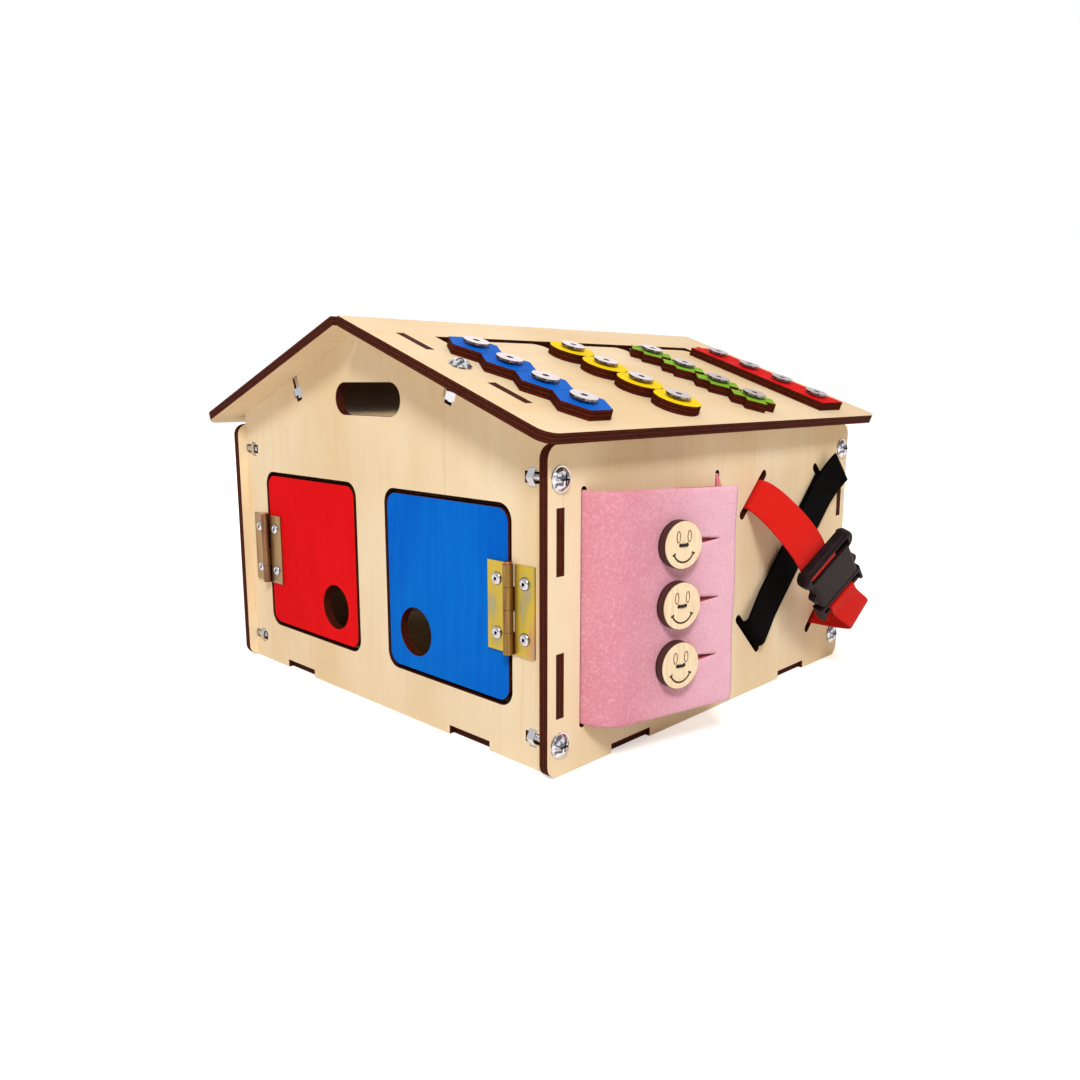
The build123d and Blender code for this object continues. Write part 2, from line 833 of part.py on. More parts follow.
def webbing_ribbon(start, first_pull, last_pull, end, first_wide, last_wide):
    # Webbing lofted along a smooth curve while it twists from one direction to the other.
    sections = []
    for station in range(ribbon_stations):
        share = station / (ribbon_stations - 1)
        rest = 1 - share
        spot = start * rest**3 + first_pull * (3 * rest**2 * share)
        spot += last_pull * (3 * rest * share**2) + end * share**3
        heading = (first_pull - start) * rest**2 + (last_pull - first_pull) * (2 * rest * share)
        heading = (heading + (end - last_pull) * share**2).normalized()
        twist = share**2 * (3 - 2 * share)
        wide = first_wide * (1 - twist) + last_wide * twist
        wide -= heading * wide.dot(heading)
        with BuildSketch(Plane(origin=spot, x_dir=wide, z_dir=heading)) as section:
            Rectangle(webbing_width, webbing)
        sections.append(section.sketch)
    loft(sections, ruled=True)


with BuildPart() as red_webbing_upper:
    with BuildSketch(red_plane):
        with BuildLine():
            tail_lines(webbing, 0)
        trace(line_width=webbing)
    extrude(amount=webbing_width / 2, both=True)
    under = end_bar_recess - buckle_thickness / 2 - bar_clearance
    over = middle_bar_top + bar_clearance
    riser = -buckle_back + end_bar + bar_clearance
    crossing = riser + 2 * thread_bend + middle_bar - 2 * (thread_bend - bar_clearance)
    lead_in = -buckle_back - thread_lead
    threaded = buckle_section.offset(webbing_side)
    with BuildSketch(threaded):
        with BuildLine():
            Line((lead_in, under), (riser - thread_bend, under))
            JernArc((riser - thread_bend, under), (1, 0), thread_bend, 90)
            Line((riser, under + thread_bend), (riser, over - thread_bend))
            JernArc((riser, over - thread_bend), (0, 1), thread_bend, -90)
            Line((riser + thread_bend, over), (crossing - thread_bend, over))
            JernArc((crossing - thread_bend, over), (1, 0), thread_bend, -90)
            Line((crossing, over - thread_bend), (crossing, over - thread_bend - thread_drop))
        trace(line_width=webbing)
    extrude(amount=webbing_width / 2, both=True)
    slot_mouth = red_plane.origin
    buckle_end = threaded.from_local_coords((lead_in, under, 0))
    webbing_ribbon(
        slot_mouth,
        slot_mouth + outward * webbing_rise,
        buckle_end - buckle_place.x_dir * webbing_run,
        buckle_end,
        across,
        buckle_place.y_dir,
    )
save(red_webbing_upper, "red_webbing_upper")

with BuildPart() as red_webbing_lower:
    low_plane = strap_plane(1, -1)
    with BuildSketch(low_plane):
        with BuildLine():
            tail_lines(webbing, 0)
        trace(line_width=webbing)
    extrude(amount=webbing_width / 2, both=True)
    wrap = bar_thickness / 2 + bar_clearance
    bar_side = male_ahead - end_bar - bar_clearance
    with BuildSketch(buckle_section):
        with BuildLine():
            Line((male_ahead + male_tail, -wrap), (bar_side + thread_bend, -wrap))
            JernArc((bar_side + thread_bend, -wrap), (-1, 0), thread_bend, -90)
            Line((bar_side, thread_bend - wrap), (bar_side, wrap - thread_bend))
            JernArc((bar_side, wrap - thread_bend), (0, 1), thread_bend, -90)
            Line((bar_side + thread_bend, wrap), (male_ahead, wrap))
        trace(line_width=webbing)
    extrude(amount=webbing_width / 2, both=True)
    male_end = buckle_section.from_local_coords((male_ahead, wrap, 0))
    webbing_ribbon(
        male_end,
        male_end + buckle_place.x_dir * arch_pull,
        low_plane.origin + outward * arch_fall,
        low_plane.origin,
        buckle_place.y_dir,
        across,
    )
save(red_webbing_lower, "red_webbing_lower")


# Side-release buckle
def buckle_cut(back, front, width, bottom, top):
    # Clears a box of the buckle, given in its own frame.
    with BuildSketch(buckle_place.offset(bottom)) as footprint:
        with Locations(((back + front) / 2, 0)):
            Rectangle(front - back, width)
    extrude(footprint.sketch, amount=top - bottom, mode=Mode.SUBTRACT)


def round_rims(piece, radius):
    rims = piece.faces().sort_by(Axis(buckle_place.origin, buckle_place.z_dir))
    fillet(rims[0].edges() + rims[-1].edges(), radius)


with BuildPart() as buckle_female:
    with BuildSketch(buckle_place):
        with Locations((-buckle_back + frame_end / 2, 0)):
            RectangleRounded(frame_end, buckle_width, frame_corner)
        body_back = -buckle_back + frame_end / 2
        with Locations(((body_back + mouth_ahead) / 2, 0)):
            Rectangle(mouth_ahead - body_back, body_width)
        fillet(vertices().group_by(Axis.X)[-1], body_corner)
    extrude(amount=buckle_thickness / 2, both=True)
    round_rims(buckle_female, buckle_round)
    half_thickness = buckle_thickness / 2
    inside = half_thickness - buckle_wall
    buckle_cut(-cavity_back, mouth_ahead + cut_over, body_width - 2 * buckle_wall, -inside, inside)
    half_window = side_window_height / 2
    buckle_cut(-side_window_back, side_window_front, buckle_width, -half_window, half_window)
    window_back = -buckle_back + end_bar
    window_front = window_back + strap_window_length
    buckle_cut(window_back, window_front, strap_window, -half_thickness, half_thickness)
    recess_top = end_bar_recess - half_thickness
    buckle_cut(-buckle_back - cut_over, window_back, strap_window, -half_thickness, recess_top)
    with BuildSketch(buckle_place.offset(middle_bar_top)):
        with Locations((-buckle_back + middle_bar_place, 0)):
            Rectangle(middle_bar, strap_window)
    extrude(amount=-bar_thickness)
save(buckle_female, "buckle_female")

with BuildPart() as buckle_male:
    male_back = mouth_ahead + buckle_play
    with BuildSketch(buckle_place):
        with Locations(((male_back + male_ahead) / 2, 0)):
            Rectangle(male_ahead - male_back, male_width)
    extrude(amount=male_thickness / 2, both=True)
    round_rims(buckle_male, male_round)
    half_male = male_thickness / 2
    bar_back = male_ahead - end_bar
    buckle_cut(male_back + male_neck, bar_back, strap_window, -half_male, half_male)
    for bottom, top in ((bar_thickness / 2, half_male), (-half_male, -bar_thickness / 2)):
        buckle_cut(bar_back, male_ahead + cut_over, strap_window, bottom, top)
    with BuildSketch(buckle_place):
        with Locations(((male_back - tongue_back) / 2, 0)):
            Rectangle(male_back + tongue_back, tongue_width)
    extrude(amount=tongue_height / 2, both=True)
save(buckle_male, "buckle_male")

with BuildPart() as buckle_prongs:
    inner_edge = prong_place - prong_width / 2
    outer_edge = prong_place + prong_width / 2
    barb_front = side_window_front - buckle_play
    with BuildSketch(buckle_place):
        with BuildLine():
            Line((male_back, inner_edge), (-prong_back, inner_edge))
            Line((-prong_back, inner_edge), (-prong_back, prong_shoulder))
            ThreePointArc(
                (-prong_back, prong_shoulder),
                ((barb_front - prong_back) / 2, prong_bulge),
                (barb_front, prong_shoulder),
            )
            Line((barb_front, prong_shoulder), (barb_front, outer_edge))
            Line((barb_front, outer_edge), (male_back, outer_edge))
            Line((male_back, outer_edge), (male_back, inner_edge))
        make_face()
        mirror(about=Plane.XZ)
    extrude(amount=prong_height / 2, both=True)
save(buckle_prongs, "buckle_prongs")
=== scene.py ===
from math import asin, atan, atan2, cos, degrees, hypot, pi, radians, sin, sqrt, tan
import bmesh
import bpy
from mathutils import Matrix, Vector


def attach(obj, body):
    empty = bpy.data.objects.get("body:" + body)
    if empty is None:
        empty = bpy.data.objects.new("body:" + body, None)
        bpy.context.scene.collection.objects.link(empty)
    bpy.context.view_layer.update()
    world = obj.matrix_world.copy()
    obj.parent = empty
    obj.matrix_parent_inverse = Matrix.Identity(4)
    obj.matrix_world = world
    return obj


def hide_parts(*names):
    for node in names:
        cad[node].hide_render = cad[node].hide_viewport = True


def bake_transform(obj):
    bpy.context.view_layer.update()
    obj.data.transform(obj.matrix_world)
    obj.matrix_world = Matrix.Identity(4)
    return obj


mm = 0.001
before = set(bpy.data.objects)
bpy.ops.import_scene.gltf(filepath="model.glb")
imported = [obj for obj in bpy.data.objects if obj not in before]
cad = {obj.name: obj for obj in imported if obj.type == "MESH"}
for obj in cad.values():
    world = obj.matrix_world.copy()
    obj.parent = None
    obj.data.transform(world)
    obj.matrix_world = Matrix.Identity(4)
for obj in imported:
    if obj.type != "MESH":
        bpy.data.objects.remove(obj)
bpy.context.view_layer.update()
print("frame loaded with", len(cad), "nodes")


# Where things stand, in millimetres, as the house is built
house = {
    "halfWidth": 165.0,
    "innerHalf": 159.0,
    "halfHeight": 90.0,
    "gableFace": 157.5,
    "ply": 6.0,
    "ridgeHeight": 245.6,
    "roofPitch": 20.0,
}


def ink(red, green, blue):
    # a colour given in screen values, turned into the shader's linear ones
    def straight(value):
        share = value / 255
        return share / 12.92 if share <= 0.04045 else ((share + 0.055) / 1.055) ** 2.4
    return (straight(red), straight(green), straight(blue), 1.0)


# Shader maths written as expressions
class Wire:
    def __init__(self, finish, socket):
        self.finish, self.socket = finish, socket

    def calc(self, operation, *values):
        return self.finish.node("Math", {"operation": operation}, dict(enumerate(values)))

    def __add__(self, other):
        return self.calc("ADD", self, other)

    def __sub__(self, other):
        return self.calc("SUBTRACT", self, other)

    def __rsub__(self, other):
        return self.calc("SUBTRACT", other, self)

    def __mul__(self, other):
        return self.calc("MULTIPLY", self, other)

    def __truediv__(self, other):
        return self.calc("DIVIDE", self, other)

    def most(self, other):
        return self.calc("MAXIMUM", self, other)

    def size(self):
        return self.calc("ABSOLUTE", self)

    def sine(self):
        return self.calc("SINE", self)

    def cycle(self, length):
        return self.calc("FLOORED_MODULO", self, length)

    def over(self, low, high):
        # 0 below low, 1 above high, smooth between
        settings = {"interpolation_type": "SMOOTHSTEP"}
        return self.finish.node("MapRange", settings, {0: self, 1: low, 2: high})


class Finish:
    # one material, or the world: a single shader fed by expressions
    def __init__(self, name, world=False):
        self.material = bpy.data.worlds.new(name) if world else bpy.data.materials.new(name)
        self.material.use_nodes = True
        self.tree = self.material.node_tree
        self.tree.nodes.clear()
        light = self.node("Background" if world else "BsdfPrincipled")
        self.shader = light.socket.node
        self.node("OutputWorld" if world else "OutputMaterial", None, {"Surface": light})

    def plug(self, value, socket):
        if isinstance(value, Wire):
            self.tree.links.new(value.socket, socket)
        else:
            socket.default_value = value

    def node(self, kind, settings=None, sockets=None, output=0):
        made = self.tree.nodes.new("ShaderNode" + kind)
        for name, value in (settings or {}).items():
            if name == "stops":
                ramp = made.color_ramp
                while len(ramp.elements) < len(value):
                    ramp.elements.new(0.5)
                for element, (spot, colour) in zip(ramp.elements, value):
                    element.position, element.color = spot, colour
            else:
                setattr(made, name, value)
        for name, value in (sockets or {}).items():
            self.plug(value, made.inputs[name])
        return Wire(self, made.outputs[output]) if made.outputs else None

    def seen(self):
        # 1 where the background is looked at, straight, in a gloss or through glass
        kinds = ("Camera", "Glossy", "Transmission")
        rays = [self.node("LightPath", output=f"Is {kind} Ray") for kind in kinds]
        straight, gloss, through = rays
        return straight.most(gloss).most(through)

    def place(self):
        return self.node("TexCoord", output="Object")

    def normal(self):
        return self.node("TexCoord", output="Normal")

    def facing(self, axis):
        return self.along(axis, self.normal())

    def along(self, axis, vector=None):
        vector = vector or self.place()
        return self.node("VectorMath", {"operation": "DOT_PRODUCT"}, {0: vector, 1: axis}, 1)

    def point(self, x, y, z):
        return self.node("CombineXYZ", None, {0: x, 1: y, 2: z})

    def cloud(self, vector, scale, detail=2.0, rough=0.5):
        sockets = {"Vector": vector, "Scale": scale, "Detail": detail, "Roughness": rough}
        return self.node("TexNoise", None, sockets)

    def ramp(self, value, *stops):
        return self.node("ValToRGB", {"stops": stops}, {0: value})

    def mix(self, share, first, second):
        return self.node("Mix", {"data_type": "RGBA"}, {0: share, 6: first, 7: second}, 2)

    def bump(self, height, depth):
        return self.node("Bump", None, {"Height": height, "Distance": depth, "Strength": 1.0})

    def wear(self, **sockets):
        titles = {
            "color": "Base Color",
            "gloss": "Specular IOR Level",
            "sheen": "Sheen Weight",
            "sheenRoughness": "Sheen Roughness",
            "glow": "Emission Color",
            "glowStrength": "Emission Strength",
        }
        for name, value in sockets.items():
            self.plug(value, self.shader.inputs[titles.get(name, name.capitalize())])
        return self.material


def dress(names, material):
    for name in names:
        mesh = cad[name].data
        if not mesh.materials:
            mesh.materials.append(material)
        for holder in cad[name].material_slots:
            holder.material = material


# Laser-cut plywood: pale grained faces, burnt laminated edges, and inner faces browned as painted
# shade
plywoodLook = {
    "pale": ink(244, 227, 195),
    "tan": ink(235, 211, 171),
    "streak": ink(216, 180, 132),
    "burntDark": ink(26, 9, 6),
    "burntRed": ink(84, 33, 19),
    "insideShade": ink(142, 84, 60),
    "insideShadeShare": 0.5,
    "bandShare": 0.32,
    "poreShare": 0.2,
    "grainDepth": 0.00012,
    "faceRoughness": 0.6,
    "edgeRoughness": 0.8,
    "gloss": 0.1,
    "stainGloss": 0.03,
}


def plywood(name, thickAxis, grainAxis, middle, seed=0.0, stain=None, stainSide=1, extraStreak=0.0):
    look = plywoodLook
    thickAxis, grainAxis = Vector(thickAxis).normalized(), Vector(grainAxis).normalized()
    crossAxis = thickAxis.cross(grainAxis)
    made = Finish(name)
    grain = made.along(grainAxis) / mm
    cross = made.along(crossAxis) / mm
    depth = (made.along(thickAxis) / mm - middle) / (house["ply"] / 2)
    drift = made.cloud(made.point(cross * 0.012, grain * 0.006, seed), 1.0, 3.0)
    sway = made.cloud(made.point(cross * 0.02, grain * 0.008, seed + 4.0), 1.0, 2.0)
    swayed = made.point(cross * 0.22 + sway * 2.0, grain * 0.008, seed + 9.0)
    bands = made.cloud(swayed, 1.0, 4.0, 0.62)
    pores = made.cloud(made.point(cross * 1.7, grain * 0.05, seed + 17.0), 1.0, 4.0, 0.65)
    face = made.mix(drift.over(0.35, 0.68), look["pale"], look["tan"])
    # extraStreak adds to the share of the darker streak tone; only the roof panels are given it
    face = made.mix(bands.over(0.5, 0.8) * look["bandShare"] + extraStreak, face, look["streak"])
    face = made.mix(pores.over(0.5, 0.75) * look["poreShare"], face, look["streak"])
    # painted shade: faces inside the house, other than those facing up, are browned
    across = made.along((1, 0, 0)).size() / mm / house["innerHalf"]
    along = made.along((0, 1, 0)).size() / mm / (house["gableFace"] - house["ply"])
    inside = 1 - across.most(along).over(1.005, 1.01)
    inside = inside * (1 - made.facing((0, 0, 1)).over(0.5, 0.6))
    face = made.mix(inside * look["insideShadeShare"], face, look["insideShade"])
    if stain:
        # the stain soaks in unevenly along the grain
        light, deep = stain
        colour = made.mix(drift.over(0.35, 0.65) * 0.55 + bands.over(0.35, 0.7) * 0.3, deep, light)
        colour = made.mix(pores.over(0.5, 0.72) * 0.4, colour, light)
        side = made.facing(thickAxis * stainSide).over(0.5, 0.6)
        face = made.mix(side, face, colour)
    char = made.cloud(made.point(cross * 0.3, grain * 0.3, depth * 2.0), 1.0, 3.0)
    layers = made.ramp(
        depth * 0.5 + 0.5,
        (0.0, look["burntRed"]),
        (0.22, look["burntRed"]),
        (0.32, look["burntDark"]),
        (0.4, look["burntRed"]),
        (0.6, look["burntRed"]),
        (0.68, look["burntDark"]),
        (0.78, look["burntRed"]),
        (1.0, look["burntRed"]),
    )
    edge = made.mix(char.over(0.35, 0.8) * 0.55, layers, look["burntDark"])
    isFace = made.facing(thickAxis).size().over(0.6, 0.75)
    rough = isFace * (look["faceRoughness"] - look["edgeRoughness"]) + look["edgeRoughness"]
    rough = rough + pores * 0.08
    return made.wear(
        color=made.mix(isFace, edge, face),
        roughness=rough,
        gloss=look["stainGloss"] if stain else look["gloss"],
        normal=made.bump(pores * 0.6 + bands * 0.4, look["grainDepth"]),
    )


pitch = radians(house["roofPitch"])
rightUp = (sin(pitch), 0, cos(pitch))
leftUp = (-sin(pitch), 0, cos(pitch))
ridgeLift = house["ridgeHeight"] * cos(pitch)
ply = house["ply"]
wallMiddle = house["innerHalf"] + ply / 2
gableMiddle = house["gableFace"] - ply / 2

stains = {
    "blue": (ink(6, 120, 224), ink(0, 90, 202)),
    "yellow": (ink(254, 228, 26), ink(246, 214, 10)),
    "green": (ink(148, 202, 58), ink(116, 174, 36)),
    "red": (ink(238, 22, 28), ink(218, 8, 18)),
}
baseWood = plywood("birchBase", (0, 0, 1), (1, 0, 0), ply / 2, 1.0)
dress(["base_panel"], baseWood)
walls = (
    ("front_gable_wall", "birchFront", (0, 1, 0), -gableMiddle, 2.0),
    ("back_gable_wall", "birchBack", (0, 1, 0), gableMiddle, 3.0),
    ("left_side_wall", "birchLeft", (1, 0, 0), -wallMiddle, 5.0),
    ("right_side_wall", "birchRight", (1, 0, 0), wallMiddle, 6.0),
)
for node, name, thickAxis, middle, seed in walls:
    dress([node], plywood(name, thickAxis, (0, 0, 1), middle, seed))
roofs = (("roof_panel_left", "birchRoofLeft", leftUp, 7.0),
         ("roof_panel_right", "birchRoofRight", rightUp, 8.0))
for node, name, thickAxis, seed in roofs:
    dress([node], plywood(name, thickAxis, (0, 1, 0), ridgeLift + ply / 2, seed, extraStreak=0.12))
for colour in ("red", "blue"):
    paint = plywood(colour + "Door", (0, 1, 0), (0, 0, 1), -gableMiddle, 11.0, stains[colour], -1)
    dress([colour + "_door"], paint)
for colour, stain in stains.items():
    paint = plywood(colour + "Token", rightUp, (0, 1, 0), ridgeLift + ply * 1.5, 13.0, stain)
    dress([f"{colour}_token_{row}" for row in range(1, 5)], paint)
print("plywood dressed")


# Metal: zinc bolts, chromated hinges, bright rivets, nickel token bolts
hinge = {
    "pinAway": 131.6,
    "barrel": 2.9,
    "barrelFade": 1.2,
    "barrelShare": 0.75,
    "shimmer": ((0.3, ink(158, 146, 146)), (0.38, ink(158, 148, 96)), (0.46, ink(186, 160, 58)),
                (0.54, ink(186, 162, 70)), (0.62, ink(182, 140, 92)), (0.72, ink(156, 138, 134))),
    "browned": ((0.34, ink(150, 128, 112)), (0.5, ink(156, 126, 82)), (0.66, ink(132, 98, 74))),
    "copper": ink(138, 92, 64),
    "copperDark": ink(76, 46, 33),
    "pin": ink(190, 120, 84),
    "pinDark": ink(160, 96, 70),
}


def hingePinMetal():
    made = Finish("hingePin")
    spots = made.cloud(made.place(), 300.0, 4.0, 0.6)
    return made.wear(
        color=made.mix(spots.over(0.35, 0.7), hinge["pin"], hinge["pinDark"]),
        metallic=1.0,
        roughness=spots * 0.14 + 0.28,
        normal=made.bump(spots, 0.00004),
    )


def chromate():
    # yellow chromate shimmers from gold to rose and lilac grey; the red door's hinge has browned
    made = Finish("chromate")
    broad = made.cloud(made.point(made.along((55, 0, 0)), 0.0, made.along((0, 0, 24))), 1.0)
    streaks = made.point(made.along((900, 0, 0)), made.along((0, 900, 0)), made.along((0, 0, 40)))
    brushed = made.cloud(streaks, 1.0)
    away = ((made.along((1, 0, 0)) / mm).size() - hinge["pinAway"]).size()
    barrel = 1 - away.over(hinge["barrel"], hinge["barrel"] + hinge["barrelFade"])
    tone = broad * 0.8 + brushed * 0.2
    redSide = 1 - made.along((1, 0, 0)).over(-0.001, 0.001)
    leaf = made.mix(redSide, made.ramp(tone, *hinge["shimmer"]), made.ramp(tone, *hinge["browned"]))
    rolled = made.mix(brushed.over(0.3, 0.7), hinge["copper"], hinge["copperDark"])
    return made.wear(
        color=made.mix(barrel * hinge["barrelShare"], leaf, rolled),
        metallic=1.0,
        roughness=brushed * 0.16 + 0.3,
        normal=made.bump(brushed, 0.00003),
    )


# heights of the sliding disc below the roof's underside, and the bolt's painted reflection tones
# above it: dark and light rim patches and a lighter top
tokenBolt = {
    "discLow": -4.4,
    "discHigh": -0.2,
    "rimDarkReflection": ink(66, 56, 52),
    "rimLightReflection": ink(150, 138, 132),
    "top": ink(180, 168, 167),
}


def tokenBoltMetal():
    # the bolt and its nut are bright metal, the disc that slides under the roof is plywood
    made = Finish("tokenBolt")
    height = made.along(rightUp) / mm - ridgeLift
    low, high = tokenBolt["discLow"], tokenBolt["discHigh"]
    disc = height.over(low - 0.02, low + 0.02) - height.over(high, high + 0.05)
    wide = made.facing(rightUp).size().over(0.6, 0.75)
    wood = made.mix(wide, plywoodLook["burntDark"], plywoodLook["tan"])
    # painted reflection: the rim gets dark and light patches by its direction, and the top face is
    # painted lighter than the rim
    paintedReflection = made.cloud(made.normal(), 2.2, 1.0).over(0.4, 0.6)
    rim = made.mix(paintedReflection, tokenBolt["rimDarkReflection"], tokenBolt["rimLightReflection"])
    bright = made.mix(wide, rim, tokenBolt["top"])
    return made.wear(
        color=made.mix(disc, bright, wood),
        metallic=1.0 - disc,
        roughness=disc * 0.2 + 0.4,
    )


# painted reflection tones of zinc, light and dark, and the painted shade of its recesses
zinc = {
    "light": ink(214, 214, 218),
    "dark": ink(98, 96, 102),
    "recessShade": ink(34, 30, 32),
    "recessFloor": 2.6,
    "washer": 0.8,
    "nutShare": 0.3,
}


def zincMetal():
    # painted reflection and shade: a dome mirrors bright and dark things, so its painted patches go
    # by direction; the cross recess and the heads' sides are painted dark as shade
    made = Finish("zinc")
    wall = made.along((1, 0, 0)).size() / mm - house["halfWidth"]
    slopes = made.along(rightUp).most(made.along(leftUp)) / mm - ridgeLift - ply
    height = wall.most(slopes)
    straightOut = made.facing((1, 0, 0)).size().most(made.facing(rightUp).most(made.facing(leftUp)))
    deep = zinc["recessFloor"]
    floor = height.over(deep - 0.2, deep - 0.1)
    floor = floor * (1 - height.over(deep + 0.1, deep + 0.2)) * straightOut.over(0.97, 0.99)
    washer = zinc["washer"]
    sides = (1 - straightOut.over(0.3, 0.5)) * height.over(washer + 0.1, washer + 0.2)
    paintedReflection = made.cloud(made.normal(), 2.6, 2.0).over(0.44, 0.56)
    head = height.over(-1.0, 0.0) * (1 - zinc["nutShare"]) + zinc["nutShare"]
    colour = made.mix(paintedReflection * head, zinc["light"], zinc["dark"])
    colour = made.mix(floor.most(sides), colour, zinc["recessShade"])
    return made.wear(color=colour, metallic=1.0, roughness=0.2)


# painted reflection tones of the rivet domes, and the painted shade of the bore
rivet = {
    "light": ink(206, 206, 210),
    "dark": ink(150, 148, 152),
    "bore": ink(40, 34, 34),
    "boreFloor": 1.6,
    "headBase": 1.3,
}


def rivetMetal():
    # bright domes with painted reflection patches by direction, and a bore in the middle painted
    # dark as shade
    made = Finish("rivet")
    height = made.along((0, 1, 0)).size() / mm - house["gableFace"]
    straightOut = made.facing((0, 1, 0)).size()
    deep = rivet["boreFloor"]
    floor = straightOut.over(0.97, 0.99) * (1 - height.over(deep + 0.1, deep + 0.3))
    sides = 1 - straightOut.over(0.3, 0.5)
    bore = floor.most(sides) * height.over(rivet["headBase"], rivet["headBase"] + 0.1)
    paintedReflection = made.cloud(made.normal(), 2.0, 2.0).over(0.42, 0.58)
    dome = made.mix(paintedReflection, rivet["light"], rivet["dark"])
    return made.wear(color=made.mix(bore, dome, rivet["bore"]), metallic=1.0, roughness=0.24)


dress(["frame_bolts", "frame_nuts"], zincMetal())
dress(["hinge_wall_leaves", "red_door_hinge_leaf", "blue_door_hinge_leaf"], chromate())
dress(["hinge_pins"], hingePinMetal())
dress(["hinge_wall_rivets", "red_door_rivets", "blue_door_rivets"], rivetMetal())
boltMetal = tokenBoltMetal()
for colour in stains:
    dress([f"{colour}_token_bolt_{row}" for row in range(1, 5)], boltMetal)


def mouldedPlastic():
    made = Finish("buckle")
    grain = made.cloud(made.place(), 1800.0, 2.0)
    cloud = made.cloud(made.place(), 90.0, 2.0)
    return made.wear(
        color=made.mix(cloud.over(0.35, 0.65), ink(26, 15, 17), ink(38, 24, 27)),
        roughness=cloud * 0.12 + 0.42,
        gloss=0.06,
        normal=made.bump(grain, 0.00003),
    )


dress(["buckle_female", "buckle_male", "buckle_prongs"], mouldedPlastic())
print("metal and plastic dressed")


# Strips of cloth: a path of frames, swept with a rounded section
def planPath(start, heading, steps, spacing):
    # walks straight runs (length, 0) and bends (length, degrees) in a plane
    x, y, turned = *start, heading
    path = [(x, y, turned)]
    for length, turn in steps:
        count = max(1, round(length / spacing))
        half = radians(turn) / count / 2
        chord = length / count * (sin(half) / half if turn else 1)
        for _ in range(count):
            x += chord * cos(turned + half)
            y += chord * sin(turned + half)
            turned += 2 * half
            path.append((x, y, turned))
    return path


def bend(radius, turn):
    return (radius * abs(radians(turn)), turn)


def liftPath(path, origin, xAxis, yAxis):
    # frames (point, across, heading) of a plane's path; across is the plane's normal
    across = xAxis.cross(yAxis)
    frames = []
    for x, y, turned in path:
        heading = xAxis * cos(turned) + yAxis * sin(turned)
        frames.append((origin + xAxis * x + yAxis * y, across, heading))
    return frames


def stripPiece(name, frames, width, thickness, columns, shape=None):
    # a closed strip with round edges; the UV map holds millimetres across and along
    rim = thickness / width
    sides = [-1, -1 + 0.3 * rim, -1 + rim]
    sides += [(-1 + rim) + (2 - 2 * rim) * step / columns for step in range(1, columns)]
    sides += [1 - rim, 1 - 0.3 * rim, 1]
    ring = [(side, 1) for side in sides] + [(side, -1) for side in reversed(sides[1:-1])]
    body = bmesh.new()
    layer = body.loops.layers.uv.new("cloth")
    rows, marks, travelled = [], [], 0.0
    for number, (point, across, heading) in enumerate(frames):
        if number:
            travelled += (point - frames[number - 1][0]).length
        out = heading.cross(across).normalized()
        row = []
        for side, face in ring:
            past = max(0.0, (abs(side) - (1 - rim)) / rim)
            lift = face * thickness / 2 * sqrt(max(0.0, 1 - past * past))
            spot = point + across * (side * width / 2) + out * lift
            if shape:
                rise, shift = shape(travelled, side)
                spot = spot + out * rise + across * shift
            row.append(body.verts.new(spot * mm))
        rows.append(row)
        marks.append(travelled)
    count = len(ring)
    for low in range(len(rows) - 1):
        for step in range(count):
            after = (step + 1) % count
            near, far = rows[low], rows[low + 1]
            face = body.faces.new((near[step], near[after], far[after], far[step]))
            ends = ((step, low), (after, low), (after, low + 1), (step, low + 1))
            for loop, (spot, level) in zip(face.loops, ends):
                loop[layer].uv = (ring[spot][0] * width / 2, marks[level])
    tops = len(sides)
    for row in (rows[0], rows[-1]):
        for step in range(tops - 1):
            low = [row[step], row[step + 1]]
            under = [row[(count - step - 1) % count], row[(count - step) % count]]
            corners = list(dict.fromkeys(low + under))
            if len(corners) > 2:
                body.faces.new(corners)
    return finishPiece(name, body)


def sleeve(body, low, high, offset=0):
    # quads between two closed rings, the high one turned by offset
    count = len(low)
    for step in range(count):
        after = (step + 1) % count
        far = [high[(turn + offset) % count] for turn in (after, step)]
        body.faces.new([low[step], low[after]] + far)


def addObject(name, data):
    added = bpy.data.objects.new(name, data)
    bpy.context.scene.collection.objects.link(added)
    return added


def finishPiece(name, body, soft=True):
    bmesh.ops.recalc_face_normals(body, faces=body.faces)
    mesh = bpy.data.meshes.new(name)
    body.to_mesh(mesh)
    body.free()
    for face in mesh.polygons:
        face.use_smooth = soft
    return addObject(name, mesh)


# Short tabs of the base, seen in the foot notches
baseTab = {
    "width": 35.6,
    "height": 5.55,
    "reach": 2.7,
    "gableShift": 94.0,
    "sideShift": 93.0,
}


def addTab(body, root, half, reach):
    up = Vector((0, 0, baseTab["height"]))
    foot = [root - half, root + half, root + half + reach, root - half + reach]
    low = [body.verts.new(spot * mm) for spot in foot]
    high = [body.verts.new((spot + up) * mm) for spot in foot]
    body.faces.new(low)
    body.faces.new(high)
    sleeve(body, low, high)


def baseTabs():
    body = bmesh.new()
    half, reach = baseTab["width"] / 2, baseTab["reach"]
    for side in (-1, 1):
        for way in (-1, 1):
            root = Vector((way * baseTab["gableShift"], side * (house["gableFace"] - ply), 0))
            addTab(body, root, Vector((half, 0, 0)), Vector((0, side * reach, 0)))
            root = Vector((side * house["innerHalf"], way * baseTab["sideShift"], 0))
            addTab(body, root, Vector((0, half, 0)), Vector((side * reach, 0, 0)))
    piece = finishPiece("baseTabs", body, False)
    piece.data.materials.append(baseWood)
    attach(piece, "house")


baseTabs()
print("base tabs made")


def pathLength(frames):
    return sum((after[0] - before[0]).length for before, after in zip(frames, frames[1:]))


def asSheet(piece, node, look, width, frames):
    piece.data.materials.append(look)
    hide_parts(node)
    width * mm
    pathLength(frames) * mm
    return piece


